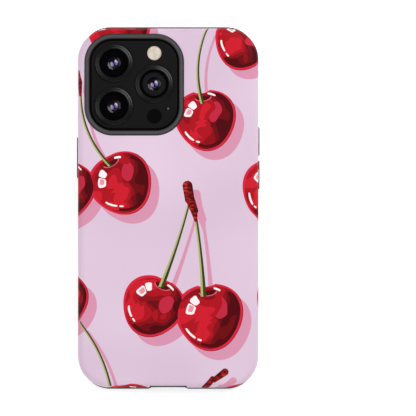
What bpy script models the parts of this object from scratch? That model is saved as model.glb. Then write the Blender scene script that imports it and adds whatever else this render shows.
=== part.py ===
"""A phone in a two-layer protective case, lying face down, built as separate solids.

The frame: X across the phone, Y along it towards its top edge, Z up out of its back.
The origin is under the middle of the phone, on the plane that the case's screen lip rests on.
Sizes are in metres. A span is the lowest and the highest level that a piece lies between.
"""

import math

import bmesh
import bpy

MM = 0.001

# The phone.
PHONE_WIDTH = 71.5 * MM
PHONE_LENGTH = 147.5 * MM
PHONE_CORNER = 12.1 * MM
PHONE_EDGE = 1.0 * MM
PHONE_FRONT = 1.1 * MM
PHONE_BACK = 8.9 * MM
PHONE_MIDDLE = 5.0 * MM
BAND_WALL = 1.85 * MM
GLASS_INSET = 1.25 * MM
GLASS_THICKNESS = 0.7 * MM
GLASS_POCKET = 0.8 * MM
GLASS_CORNER = 10.9 * MM

# The case. The rigid shell is proud at the sides, the soft liner at the ends.
CASE_WIDTH = 75.7 * MM
CASE_LENGTH = 151.7 * MM
CASE_BACK = 10.65 * MM
CASE_CORNER = 13.3 * MM
SHELL_LENGTH = 150.9 * MM
SHELL_WALL = 1.0 * MM
SHELL_BACK_WALL = 0.9 * MM
SHELL_ROUND = 3.2 * MM
SHELL_INNER_ROUND = 2.1 * MM
LIP_HEIGHT = 1.0 * MM
LIP_OVERLAP = 1.45 * MM
LINER_SIZE = (73.5 * MM, 148.7 * MM)
LINER_SPAN = (0.55 * MM, 9.65 * MM)
LINER_ROUND = 2.0 * MM
BUMPER_INSET = 0.2 * MM
BUMPER_TOP = 8.0 * MM
BUMPER_ROUND = 1.45 * MM
FIT = 0.1 * MM
SEAM = 0.15 * MM

# Where the shell's front edge lifts to show the liner at each end, seen from the side.
EDGE_LOW = 1.05 * MM
EDGE_HIGH = 6.9 * MM
SWEEP_START = 71.3 * MM
SWEEP_END = 75.0 * MM

# The camera island, the case's rim round it, and what looks out of it.
ISLAND = (-14.2 * MM, 51.6 * MM)
ISLAND_SIZE = (36.2 * MM, 36.9 * MM)
ISLAND_SPAN = (9.0 * MM, 10.2 * MM)
ISLAND_CORNER = 9.0 * MM
ISLAND_ROUND = 0.4 * MM
RIM_SIZE = (41.4 * MM, 42.3 * MM)
RIM_SPAN = (9.2 * MM, 11.6 * MM)
RIM_CORNER = 11.75 * MM
RIM_WALL = 2.0 * MM
RIM_ROUND = 0.6 * MM
LENS_COLUMN = -22.65 * MM
SIDE_COLUMN = -5.8 * MM
LENS_PITCH = 9.0 * MM
SIDE_PITCH = 13.2 * MM
LENSES = {
    "main": (LENS_COLUMN, ISLAND[1] + LENS_PITCH),
    "wide": (LENS_COLUMN, ISLAND[1] - LENS_PITCH),
    "tele": (SIDE_COLUMN, ISLAND[1] + 0.3 * MM),
}
FLASH = (SIDE_COLUMN, ISLAND[1] + SIDE_PITCH)
DEPTH_SENSOR = (SIDE_COLUMN, ISLAND[1] - SIDE_PITCH)
MICROPHONE = (0.0, ISLAND[1] - 10.0 * MM)
MICROPHONE_HOLE = 0.5 * MM
WINDOW_RADIUS = 2.95 * MM
WINDOW_SPAN = (9.4 * MM, 10.15 * MM)
WINDOW_HOLE = 2.6 * MM
BRACKET_SIZE = (34.0 * MM, 35.0 * MM)
BRACKET_SPAN = (7.1 * MM, 7.5 * MM)
BRACKET_CORNER = 6.0 * MM

# One rear camera. Its ring's spigot passes through the island, and a shelf carries the glass.
RING_RADIUS = 7.8 * MM
RING_TOP = 11.4 * MM
RING_CHAMFER = 0.4 * MM
SPIGOT_RADIUS = 6.5 * MM
SPIGOT_FOOT = 9.3 * MM
SHELF_RADIUS = 5.5 * MM
SHELF_TOP = 10.8 * MM
LENS_GLASS_RADIUS = 5.9 * MM
LENS_GLASS_DROP = 0.2 * MM
BARREL_RADIUS = 5.2 * MM
BARREL_SPAN = (7.0 * MM, 10.2 * MM)
BARREL_MOUTH = 4.6 * MM
WELL_RADIUS = 3.0 * MM
WELL_SPAN = (8.6 * MM, 9.3 * MM)
ELEMENT_SPAN = (8.7 * MM, 9.5 * MM)
ELEMENT_RADIUS = 2.8 * MM
ELEMENT_RIM = 8.95 * MM
ELEMENT_BROW = (1.6 * MM, 9.35 * MM)
SENSOR_SIZE = (12.0 * MM, 12.0 * MM)
SENSOR_SPAN = (3.3 * MM, 6.9 * MM)

# The side keys, the case's covers over them, and the switches that they press.
KEYS = {
    "power": (-1, 21.1 * MM, 17.2 * MM),
    "volume_up": (1, 27.9 * MM, 12.0 * MM),
    "volume_down": (1, 13.9 * MM, 12.0 * MM),
}
KEY_Z = 4.5 * MM
COVER_WIDTH = 2.9 * MM
COVER_PROUD = 0.5 * MM
COVER_GAP = 0.3 * MM
KEY_WIDTH = 2.0 * MM
KEY_SHORTER = 1.6 * MM
KEY_PROUD = 0.4 * MM
KEY_DEPTH = 0.85 * MM
KEY_CLEARANCE = 0.15 * MM
KEY_TRAVEL = 0.3 * MM
TACTILE_WIDTH = 1.8 * MM
TACTILE_SHORTER = 4.0 * MM
TACTILE_THICKNESS = 0.5 * MM

# The ring switch, its slot in the band and its windows in the case. Sizes are height, length.
SWITCH_Y = 41.5 * MM
SWITCH_Z = 5.1 * MM
SWITCH_LEVER = (1.9 * MM, 5.8 * MM)
SWITCH_PROUD = 0.25 * MM
SWITCH_TRAVEL = 1.0 * MM
SWITCH_SLOT = (3.3 * MM, 6.4 * MM)
SLOT_CORNER = 1.0 * MM
SHELL_WINDOW = (5.2 * MM, 10.0 * MM)
SHELL_WINDOW_CORNER = 1.2 * MM
LINER_WINDOW = (4.6 * MM, 9.4 * MM)
LINER_WINDOW_CORNER = 1.0 * MM

# The SIM tray, below the volume keys.
TRAY_Y = -8.0 * MM
TRAY_SIZE = (1.6 * MM, 15.2 * MM)
TRAY_SLOT = (2.0 * MM, 15.6 * MM)
TRAY_SPAN = (22.0 * MM, 35.6 * MM)
TRAY_CORNER = 0.6 * MM

# The bottom edge. Spans on it are measured from the middle of the phone downwards.
PORT_OPENING = (12.6 * MM, 6.2 * MM)
PORT_HOLE = (9.6 * MM, 3.6 * MM)
PORT_SHELL = (9.2 * MM, 3.2 * MM)
PORT_MOUTH = (8.5 * MM, 2.6 * MM)
PORT_SUNK = 0.2 * MM
PORT_DEPTH = 7.5 * MM
PORT_BACK_WALL = 0.8 * MM
TONGUE_SIZE = (6.7 * MM, 5.2 * MM)
TONGUE_SPAN = (4.65 * MM, 5.35 * MM)
TONGUE_CORNER = 0.4 * MM
DIP_HALF_WIDTH = 6.9 * MM
DIP_SLOPE = 1.3 * MM
DIP_DEPTH = 0.65 * MM
NOTCH_FLOOR = -73.6 * MM
NOTCH_TOP = 9.5 * MM
BOSS_SPAN = (2.0 * MM, 10.05 * MM)
BOSS_ROUND = 2.6 * MM
SPEAKER_OPENING = (15.0 * MM, 3.2 * MM)
SPEAKER_X = 18.6 * MM
SPEAKER_Z = 4.6 * MM
GRILLE_HOLES = 5
GRILLE_PITCH = 2.7 * MM
GRILLE_RADIUS = 0.75 * MM
SCREW_X = 8.3 * MM
SCREW_RADIUS = 0.7 * MM
SCREW_HOLE = 0.85 * MM
SCREW_SPAN = (70.2 * MM, 73.6 * MM)

# Behind the screen.
EARPIECE = (0.0, 71.1 * MM)
EARPIECE_SLOT = (11.4 * MM, 1.2 * MM)
EARPIECE_MESH = (11.0 * MM, 0.8 * MM)
EARPIECE_SPAN = (1.3 * MM, 1.7 * MM)
PANEL_SPAN = (1.9 * MM, 2.5 * MM)
PLATE_SPAN = (2.6 * MM, 3.0 * MM)
PLATE_GAP = 0.2 * MM
FRONT_CAMERA = (0.0, 64.0 * MM)
FRONT_CAMERA_RADIUS = 1.8 * MM
FRONT_CAMERA_HOLE = 2.1 * MM
FRONT_CAMERA_SPAN = (1.95 * MM, 5.2 * MM)

# Behind the back glass.
CHARGING_SPAN = (7.6 * MM, 8.0 * MM)
COIL_RADII = (9.5 * MM, 20.5 * MM)
MAGNET_RADII = (23.5 * MM, 27.5 * MM)
LED_RADIUS = 2.0 * MM
LED_SPAN = (7.7 * MM, 9.1 * MM)
DEPTH_RADIUS = 2.2 * MM
DEPTH_SPAN = (6.0 * MM, 9.1 * MM)
MICROPHONE_RADIUS = 0.35 * MM
MICROPHONE_SPAN = (8.4 * MM, 10.0 * MM)

# The blocks inside, in millimetres: size, span, corner radius, middle and finish.
BLOCKS = {
    "battery": ((38.0, 72.0), (3.2, 7.3), 1.5, (-13.5, -9.5), "foil"),
    "main_board": ((21.0, 66.0), (4.3, 5.1), 1.5, (18.5, 34.0), "board"),
    "board_shield": ((18.0, 54.0), (5.2, 7.0), 1.0, (18.5, 30.0), "steel"),
    "haptic_motor": ((26.0, 11.0), (3.2, 7.2), 1.0, (-19.0, -53.0), "steel"),
    "bottom_speaker": ((22.0, 20.0), (3.2, 7.2), 2.0, (20.5, -58.5), "black_plastic"),
    "sound_vent": ((20.0, 6.0), (3.2, 6.4), 1.0, (-19.0, -65.5), "black_plastic"),
    "earpiece_speaker": ((15.0, 4.5), (3.2, 6.0), 1.0, (0.0, 69.0), "black_plastic"),
}
BATTERY_FOOT = ((63.0, 29.0), (3.2, 7.3), 1.5, (-1.0, -31.0), None)

# How far the cutters reach, clear of all that they don't cut.
UNDER = -2.0 * MM
OVER = 13.0 * MM
BEYOND = 90.0 * MM
THROUGH_FRONT = (UNDER, 3.0 * MM)
THROUGH_BACK = (6.5 * MM, OVER)
THROUGH_SIDE = (32.0 * MM, 40.0 * MM)
THROUGH_BOTTOM = (71.0 * MM, 80.0 * MM)

# How finely round shapes are divided, and the distances below which points are the same.
FINE, ROUND, COARSE, SMALL = 40, 28, 16, 10
CORNER_STEPS = 9
TOUCH = 1e-7
MERGE = 1e-6
# A pill's corners, as a share of its height: a little under half, so that they don't meet.
PILL = 0.499

MATERIALS = {
    "printed_shell": ((0.76, 0.59, 0.73), 0.35, 0.0),
    "soft_liner": ((0.032, 0.033, 0.034), 0.6, 0.0),
    "cover_rubber": ((0.07, 0.07, 0.07), 0.6, 0.0),
    "band_metal": ((0.02, 0.02, 0.019), 0.3, 1.0),
    "black_glass": ((0.008, 0.008, 0.008), 0.12, 0.0),
    "lens_glass": ((0.05, 0.05, 0.07), 0.02, 0.0),
    "black_plastic": ((0.01, 0.01, 0.01), 0.5, 0.0),
    "flash_lens": ((0.68, 0.61, 0.53), 0.3, 0.0),
    "steel": ((0.5, 0.5, 0.5), 0.3, 1.0),
    "board": ((0.02, 0.09, 0.05), 0.5, 0.0),
    "foil": ((0.03, 0.03, 0.03), 0.4, 0.0),
    "copper": ((0.6, 0.25, 0.12), 0.35, 1.0),
    "led": ((0.9, 0.75, 0.2), 0.4, 0.0),
}

ALONG_X = (0.0, math.radians(90), 0.0)
ALONG_Y = (math.radians(90), 0.0, 0.0)
SIDEWAYS = (math.radians(90), 0.0, math.radians(90))


def clear_scene():
    for obj in list(bpy.data.objects):
        bpy.data.objects.remove(obj)


def new_collection(name):
    collection = bpy.data.collections.new(name)
    bpy.context.scene.collection.children.link(collection)


def make_materials():
    for name, (colour, roughness, metallic) in MATERIALS.items():
        material = bpy.data.materials.new(name)
        material.use_nodes = True
        shader = material.node_tree.nodes["Principled BSDF"]
        shader.inputs["Base Color"].default_value = (*colour, 1.0)
        shader.inputs["Roughness"].default_value = roughness
        shader.inputs["Metallic"].default_value = metallic


def finish_mesh(mesh, bm):
    bmesh.ops.recalc_face_normals(bm, faces=bm.faces)
    bm.to_mesh(mesh)
    bm.free()
    mesh.shade_smooth()
    mesh.set_sharp_from_angle(angle=math.radians(30))


def place(name, mesh, material):
    """A part when it has a material, and a hidden cutter or helper when it has none."""
    obj = bpy.data.objects.new(name, mesh)
    if material:
        mesh.materials.append(bpy.data.materials[material])
        bpy.data.collections["phone_in_case"].objects.link(obj)
    else:
        obj.hide_render = True
        obj.display_type = "WIRE"
        bpy.data.collections["cutters"].objects.link(obj)
    return obj


def bevel_loop(bm, height, width, steps):
    """Rounds the loop of edges round the flat end at this height."""
    loop = [
        edge
        for edge in bm.edges
        if all(abs(v.co.z - height) < TOUCH for v in edge.verts)
    ]
    bmesh.ops.bevel(
        bm, geom=loop, offset=width, segments=steps, profile=0.5, affect="EDGES"
    )


def slab(name, size, span, corner=0.0, centre=(0.0, 0.0), material=None, turn=None,
         top_round=0.0, bottom_round=0.0, corner_steps=CORNER_STEPS, round_steps=4):
    """A plate with rounded corners between two levels. With a turn, it is made about the
    origin and turned there before it is moved, so that its thickness lies along X or Y."""
    low, high = span
    bm = bmesh.new()
    bmesh.ops.create_cube(bm, size=1.0)
    bmesh.ops.scale(bm, vec=(*size, high - low), verts=bm.verts)
    bmesh.ops.translate(bm, vec=(0.0, 0.0, (low + high) / 2), verts=bm.verts)
    if corner:
        upright = [e for e in bm.edges if abs(e.verts[0].co.z - e.verts[1].co.z) > TOUCH]
        bmesh.ops.bevel(
            bm, geom=upright, offset=corner, segments=corner_steps, profile=0.5,
            affect="EDGES",
        )
        bmesh.ops.remove_doubles(bm, verts=bm.verts, dist=MERGE)
    if top_round:
        bevel_loop(bm, high, top_round, round_steps)
    if bottom_round:
        bevel_loop(bm, low, bottom_round, round_steps)
    mesh = bpy.data.meshes.new(name)
    finish_mesh(mesh, bm)
    obj = place(name, mesh, material)
    if turn:
        obj.rotation_euler = turn
    obj.location = (*centre, 0.0)[:3]
    return obj


def side_pill(name, size, span, y, z, material=None, corner=None, steps=6):
    """A pill whose thickness lies along X. Its size is its height and its length along Y."""
    return slab(
        name, size, span, corner=corner or size[0] * PILL, centre=(0.0, y, z),
        material=material, turn=ALONG_X, corner_steps=steps,
    )


def end_pill(name, size, span, x, z, material=None, steps=6):
    """A pill in the bottom edge, whose thickness lies along Y. Its size is width and height,
    and its span is measured from the middle of the phone downwards."""
    return slab(
        name, size, span, corner=size[1] * PILL, centre=(x, 0.0, z), material=material,
        turn=ALONG_Y, corner_steps=steps,
    )


def disc(name, radius, span, centre, material=None, steps=ROUND):
    low, high = span
    bm = bmesh.new()
    bmesh.ops.create_cone(
        bm, cap_ends=True, segments=steps, radius1=radius, radius2=radius,
        depth=high - low,
    )
    bmesh.ops.translate(bm, vec=(0.0, 0.0, (low + high) / 2), verts=bm.verts)
    mesh = bpy.data.meshes.new(name)
    finish_mesh(mesh, bm)
    obj = place(name, mesh, material)
    obj.location = (*centre, 0.0)
    return obj


def end_disc(name, radius, span, x, z, material=None):
    """A small disc in the bottom edge, measured as an end pill is."""
    obj = disc(name, radius, span, (0.0, 0.0), material, SMALL)
    obj.rotation_euler = ALONG_Y
    obj.location = (x, 0.0, z)
    return obj


def annulus(name, radii, span, material, steps):
    """A flat ring about the origin."""
    ring = disc(name, radii[1], span, (0.0, 0.0), material, FINE)
    cut(ring, disc(f"{name}_hole", radii[0], THROUGH_BACK, (0.0, 0.0), steps=steps))


def turned(name, profile, centre, material, steps=ROUND):
    """A solid turned about Z from a closed profile of (radius, height) points."""
    mesh = bpy.data.meshes.new(name)
    count = len(profile)
    on_axis = any(radius == 0.0 for radius, _ in profile)
    edges = [(i, (i + 1) % count) for i in range(count - 1 if on_axis else count)]
    mesh.from_pydata([(r, 0.0, z) for r, z in profile], edges, [])
    obj = place(name, mesh, material)
    screw = obj.modifiers.new("turn", "SCREW")
    screw.steps = steps
    screw.render_steps = steps
    screw.use_merge_vertices = True
    screw.merge_threshold = 0.00001
    obj.location = (*centre, 0.0)
    return obj


def prism(name, outline, span, turn=(0.0, 0.0, 0.0)):
    """A helper solid: an outline of (x, y) points between two levels, turned about the
    origin. Turned sideways, its points are (y, z) and its span lies along X."""
    low, high = span
    curve = bpy.data.curves.new(name, "CURVE")
    curve.dimensions = "2D"
    curve.fill_mode = "BOTH"
    curve.extrude = (high - low) / 2
    spline = curve.splines.new("POLY")
    spline.points.add(len(outline) - 1)
    for point, (x, y) in zip(spline.points, outline):
        point.co = (x, y, 0.0, 1.0)
    spline.use_cyclic_u = True
    guide = bpy.data.objects.new(name + "_outline", curve)
    bpy.data.collections["cutters"].objects.link(guide)
    guide.rotation_euler = turn
    guide.location = (0.0, 0.0, (low + high) / 2)
    bpy.context.view_layer.update()
    return solid_from_curve(name, guide)


def solid_from_curve(name, guide):
    """Makes the curve a closed mesh in the same place, and removes the curve."""
    graph = bpy.context.evaluated_depsgraph_get()
    mesh = bpy.data.meshes.new_from_object(guide.evaluated_get(graph))
    bm = bmesh.new()
    bm.from_mesh(mesh)
    bmesh.ops.remove_doubles(bm, verts=bm.verts, dist=MERGE)
    finish_mesh(mesh, bm)
    obj = place(name, mesh, None)
    obj.matrix_world = guide.matrix_world
    bpy.data.objects.remove(guide)
    return obj


def combine(obj, other, operation):
    modifier = obj.modifiers.new(other.name, "BOOLEAN")
    modifier.operation = operation
    modifier.solver = "EXACT"
    modifier.object = other


def cut(obj, *cutters):
    for cutter in cutters:
        combine(obj, cutter, "DIFFERENCE")


def join(obj, *helpers):
    for helper in helpers:
        combine(obj, helper, "UNION")


def grown(size, gap):
    """A size with a gap added all round."""
    return tuple(length + 2 * gap for length in size)


def both_ends(half):
    """An outline of (y, z) points from its half at the top end."""
    return half + [(-y, z) for y, z in reversed(half)]


def above_sweep(drop):
    """The zone of the rigid shell, above its swept front edge, lowered by a drop."""
    return both_ends([
        (SWEEP_START, EDGE_LOW - drop),
        (SWEEP_END, EDGE_HIGH - drop),
        (BEYOND, EDGE_HIGH - drop),
        (BEYOND, OVER),
    ])


def below_sweep():
    """What is left out of the shell: everything below its swept front edge."""
    return both_ends([
        (BEYOND, UNDER),
        (BEYOND, EDGE_HIGH),
        (SWEEP_END, EDGE_HIGH),
        (SWEEP_START, EDGE_LOW),
    ])


def dip_outline(half_width, floor):
    """The shallow dip in the bottom edge round the port, as (x, y) points."""
    edge = -CASE_LENGTH / 2
    reach = half_width + DIP_SLOPE
    return [
        (-reach, -BEYOND),
        (-reach, edge),
        (-half_width, floor),
        (half_width, floor),
        (reach, edge),
        (reach, -BEYOND),
    ]


def on_side(side, span):
    """A span along X that is measured outwards, on the left (-1) or the right (1) side."""
    low, high = span
    return (low, high) if side > 0 else (-high, -low)


def cut_key_windows(obj, label):
    """Cuts the pill-shaped window for each key's cover through a side wall of the case."""
    for key, (side, y, length) in KEYS.items():
        size = grown((COVER_WIDTH, length), COVER_GAP)
        cut(obj, side_pill(f"{label}_{key}_window", size, on_side(side, THROUGH_SIDE), y, KEY_Z))


def build_shell():
    shell = slab(
        "outer_shell", (CASE_WIDTH, SHELL_LENGTH), (0.0, CASE_BACK), CASE_CORNER,
        material="printed_shell", top_round=SHELL_ROUND,
    )
    inside = slab(
        "shell_inside", grown((CASE_WIDTH, SHELL_LENGTH), -SHELL_WALL),
        (UNDER, CASE_BACK - SHELL_BACK_WALL), CASE_CORNER - SHELL_WALL,
        top_round=SHELL_INNER_ROUND,
    )
    sweep = prism("shell_sweep", below_sweep(), (-BEYOND, BEYOND), SIDEWAYS)
    camera = slab("shell_camera_hole", grown(RIM_SIZE, SEAM), THROUGH_BACK,
                  RIM_CORNER + SEAM, ISLAND)
    window = side_pill("shell_switch_window", SHELL_WINDOW, THROUGH_SIDE, SWITCH_Y, SWITCH_Z,
                       corner=SHELL_WINDOW_CORNER, steps=3)
    notch = prism("shell_port_notch", dip_outline(DIP_HALF_WIDTH + SEAM, NOTCH_FLOOR),
                  (UNDER, NOTCH_TOP + SEAM))
    cut(shell, inside, sweep, camera, window, notch)
    cut_key_windows(shell, "shell")


def build_bumper():
    """The liner's ends and lip, which show round the shell, with a dip at the port."""
    bumper = slab(
        "liner_bumper", (CASE_WIDTH - 2 * BUMPER_INSET, CASE_LENGTH), (0.0, BUMPER_TOP),
        CASE_CORNER, bottom_round=BUMPER_ROUND,
    )
    limit = prism("bumper_limit", above_sweep(SEAM), (-BEYOND, BEYOND), SIDEWAYS)
    dip = prism("bumper_port_dip", dip_outline(DIP_HALF_WIDTH, -CASE_LENGTH / 2 + DIP_DEPTH),
                (UNDER, OVER))
    cut(bumper, limit, dip)
    return bumper


def build_port_boss():
    """The liner's block round the port, which fills the notch in the shell."""
    boss = slab(
        "liner_port_boss", (CASE_WIDTH, CASE_LENGTH - 2 * DIP_DEPTH), BOSS_SPAN, CASE_CORNER,
        top_round=BOSS_ROUND,
    )
    floor = NOTCH_FLOOR - SEAM
    limit = prism(
        "port_boss_limit",
        [(-DIP_HALF_WIDTH, -BEYOND), (DIP_HALF_WIDTH, -BEYOND), (DIP_HALF_WIDTH, floor),
         (-DIP_HALF_WIDTH, floor)],
        (UNDER, NOTCH_TOP),
    )
    combine(boss, limit, "INTERSECT")
    return boss


def build_liner():
    liner = slab(
        "inner_liner", LINER_SIZE, LINER_SPAN, CASE_CORNER - SHELL_WALL - FIT,
        material="soft_liner", top_round=LINER_ROUND,
    )
    rim = slab("liner_camera_rim", RIM_SIZE, RIM_SPAN, RIM_CORNER, ISLAND,
               top_round=RIM_ROUND, round_steps=3)
    join(liner, build_bumper(), build_port_boss(), rim)

    cavity = slab(
        "liner_cavity", grown((PHONE_WIDTH, PHONE_LENGTH), FIT),
        (LIP_HEIGHT, PHONE_BACK + FIT), PHONE_CORNER + FIT, top_round=PHONE_EDGE,
        round_steps=3,
    )
    screen = slab("liner_screen_window", grown((PHONE_WIDTH, PHONE_LENGTH), -LIP_OVERLAP),
                  THROUGH_FRONT, PHONE_CORNER - LIP_OVERLAP)
    camera = slab("liner_camera_hole", grown(RIM_SIZE, -RIM_WALL), THROUGH_BACK,
                  RIM_CORNER - RIM_WALL, ISLAND)
    switch = side_pill("liner_switch_window", LINER_WINDOW, THROUGH_SIDE, SWITCH_Y, SWITCH_Z,
                       corner=LINER_WINDOW_CORNER, steps=3)
    port = end_pill("liner_port_opening", PORT_OPENING, THROUGH_BOTTOM, 0.0, PHONE_MIDDLE)
    cut(liner, cavity, screen, camera, switch, port)
    for side, label in ((-1, "left"), (1, "right")):
        cut(liner, end_pill(f"liner_{label}_speaker_opening", SPEAKER_OPENING,
                            THROUGH_BOTTOM, side * SPEAKER_X, SPEAKER_Z, steps=5))
    cut_key_windows(liner, "liner")


def build_keys():
    """Each key, the case's cover over it, and the tactile switch that it presses."""
    face = PHONE_WIDTH / 2
    tactile_top = face - KEY_DEPTH - KEY_TRAVEL - FIT
    for key, (side, y, length) in KEYS.items():
        pieces = {
            "cover": ((COVER_WIDTH, length),
                      (face + KEY_PROUD + FIT, CASE_WIDTH / 2 + COVER_PROUD), "cover_rubber"),
            "key": ((KEY_WIDTH, length - KEY_SHORTER),
                    (face - KEY_DEPTH, face + KEY_PROUD), "band_metal"),
            "switch": ((TACTILE_WIDTH, length - TACTILE_SHORTER),
                       (tactile_top - TACTILE_THICKNESS, tactile_top), "steel"),
        }
        for piece, (size, span, finish) in pieces.items():
            side_pill(f"{key}_{piece}", size, on_side(side, span), y, KEY_Z, finish, steps=5)
    side_pill(
        "ring_switch", SWITCH_LEVER, (face - KEY_DEPTH, face + SWITCH_PROUD), SWITCH_Y,
        SWITCH_Z - SWITCH_TRAVEL / 2, "band_metal", steps=5,
    )


def build_band():
    """The metal band round the phone, with its holes for keys, port, tray and sound."""
    band = slab(
        "phone_band", (PHONE_WIDTH, PHONE_LENGTH), (PHONE_FRONT, PHONE_BACK),
        PHONE_CORNER, material="band_metal", top_round=PHONE_EDGE,
        bottom_round=PHONE_EDGE, round_steps=3,
    )
    inside = slab("band_inside", grown((PHONE_WIDTH, PHONE_LENGTH), -BAND_WALL),
                  (UNDER, OVER), PHONE_CORNER - BAND_WALL)
    pocket = grown((PHONE_WIDTH, PHONE_LENGTH), FIT - GLASS_INSET)
    front = slab("band_front_pocket", pocket, (UNDER, PHONE_FRONT + GLASS_POCKET),
                 GLASS_CORNER + FIT)
    back = slab("band_back_pocket", pocket, (PHONE_BACK - GLASS_POCKET, OVER),
                GLASS_CORNER + FIT)
    cut(band, inside, front, back)
    for key, (side, y, length) in KEYS.items():
        size = grown((KEY_WIDTH, length - KEY_SHORTER), KEY_CLEARANCE)
        cut(band, side_pill(f"band_{key}_slot", size, on_side(side, THROUGH_SIDE), y, KEY_Z))
    cut(band, side_pill("band_switch_slot", SWITCH_SLOT, THROUGH_SIDE, SWITCH_Y, SWITCH_Z,
                        corner=SLOT_CORNER, steps=3))
    cut(band, side_pill("band_tray_slot", TRAY_SLOT, THROUGH_SIDE, TRAY_Y, PHONE_MIDDLE))
    side_pill("sim_tray", TRAY_SIZE, TRAY_SPAN, TRAY_Y, PHONE_MIDDLE, "band_metal",
              corner=TRAY_CORNER, steps=3)

    cut(band, end_pill("band_port_hole", PORT_HOLE, THROUGH_BOTTOM, 0.0, PHONE_MIDDLE))
    for side, label in ((-1, "left"), (1, "right")):
        cut(band, end_disc(f"band_{label}_screw_hole", SCREW_HOLE, THROUGH_BOTTOM,
                           side * SCREW_X, PHONE_MIDDLE))
        end_disc(f"{label}_bottom_screw", SCREW_RADIUS, SCREW_SPAN, side * SCREW_X,
                 PHONE_MIDDLE, "steel")
        for i in range(GRILLE_HOLES):
            x = side * (SPEAKER_X + (i - (GRILLE_HOLES - 1) / 2) * GRILLE_PITCH)
            cut(band, end_disc(f"band_{label}_grille_hole_{i + 1}", GRILLE_RADIUS,
                               THROUGH_BOTTOM, x, SPEAKER_Z))


def build_screen():
    """The display glass and its panel, the plate behind, the earpiece and front camera."""
    size = grown((PHONE_WIDTH, PHONE_LENGTH), -GLASS_INSET)
    display = slab("display_glass", size, (PHONE_FRONT, PHONE_FRONT + GLASS_THICKNESS),
                   GLASS_CORNER, material="black_glass")
    cut(display, slab("earpiece_slot", EARPIECE_SLOT, THROUGH_FRONT,
                      EARPIECE_SLOT[1] * PILL, EARPIECE, corner_steps=4))
    slab("earpiece_mesh", EARPIECE_MESH, EARPIECE_SPAN, EARPIECE_MESH[1] * PILL, EARPIECE,
         "steel", corner_steps=4)
    size = grown((PHONE_WIDTH, PHONE_LENGTH), -BAND_WALL - PLATE_GAP)
    corner = PHONE_CORNER - BAND_WALL - PLATE_GAP
    panel = slab("display_panel", size, PANEL_SPAN, corner, material="foil", corner_steps=5)
    plate = slab("mid_plate", size, PLATE_SPAN, corner, material="steel", corner_steps=5)
    eye = disc("front_camera_hole", FRONT_CAMERA_HOLE, (PANEL_SPAN[0] - FIT, OVER),
               FRONT_CAMERA, steps=COARSE)
    cut(panel, eye)
    cut(plate, eye)
    disc("front_camera", FRONT_CAMERA_RADIUS, FRONT_CAMERA_SPAN, FRONT_CAMERA,
         "black_plastic", COARSE)


def build_back_glass():
    back = slab("back_glass", grown((PHONE_WIDTH, PHONE_LENGTH), -GLASS_INSET),
                (PHONE_BACK - GLASS_THICKNESS, PHONE_BACK), GLASS_CORNER,
                material="black_glass")
    for name, centre in LENSES.items():
        cut(back, disc(f"back_{name}_hole", SPIGOT_RADIUS - PLATE_GAP, THROUGH_BACK, centre))
    for name, centre in {"flash": FLASH, "depth": DEPTH_SENSOR}.items():
        cut(back, disc(f"back_{name}_hole", WINDOW_HOLE, THROUGH_BACK, centre, steps=COARSE))
    cut(back, disc("back_microphone_hole", MICROPHONE_HOLE, THROUGH_BACK, MICROPHONE,
                   steps=SMALL))


def build_island():
    """The raised camera island on the back, and all that looks out of it."""
    island = slab("camera_island", ISLAND_SIZE, ISLAND_SPAN, ISLAND_CORNER, ISLAND,
                  "black_glass", top_round=ISLAND_ROUND, round_steps=2)
    bracket = slab("camera_bracket", BRACKET_SIZE, BRACKET_SPAN, BRACKET_CORNER, ISLAND,
                   "steel", corner_steps=4)
    for name, centre in LENSES.items():
        cut(island, disc(f"island_{name}_hole", SPIGOT_RADIUS + FIT, THROUGH_BACK, centre))
        cut(bracket, disc(f"bracket_{name}_hole", BARREL_RADIUS + COVER_GAP, THROUGH_BACK,
                          centre, steps=COARSE))
        build_camera(name, centre)
    for name, centre in {"flash": FLASH, "depth": DEPTH_SENSOR}.items():
        cut(island, disc(f"island_{name}_hole", WINDOW_RADIUS + FIT, THROUGH_BACK, centre))
    cut(island, disc("island_microphone_hole", MICROPHONE_HOLE, THROUGH_BACK, MICROPHONE,
                     steps=SMALL))
    cut(bracket, disc("bracket_depth_hole", DEPTH_RADIUS + COVER_GAP, THROUGH_BACK,
                      DEPTH_SENSOR, steps=COARSE))
    disc("flash_diffuser", WINDOW_RADIUS, WINDOW_SPAN, FLASH, "flash_lens")
    disc("flash_led", LED_RADIUS, LED_SPAN, FLASH, "led", COARSE)
    disc("depth_sensor_window", WINDOW_RADIUS, WINDOW_SPAN, DEPTH_SENSOR, "black_glass")
    disc("depth_sensor", DEPTH_RADIUS, DEPTH_SPAN, DEPTH_SENSOR, "black_plastic", COARSE)
    disc("rear_microphone", MICROPHONE_RADIUS, MICROPHONE_SPAN, MICROPHONE, "steel", SMALL)


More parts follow.
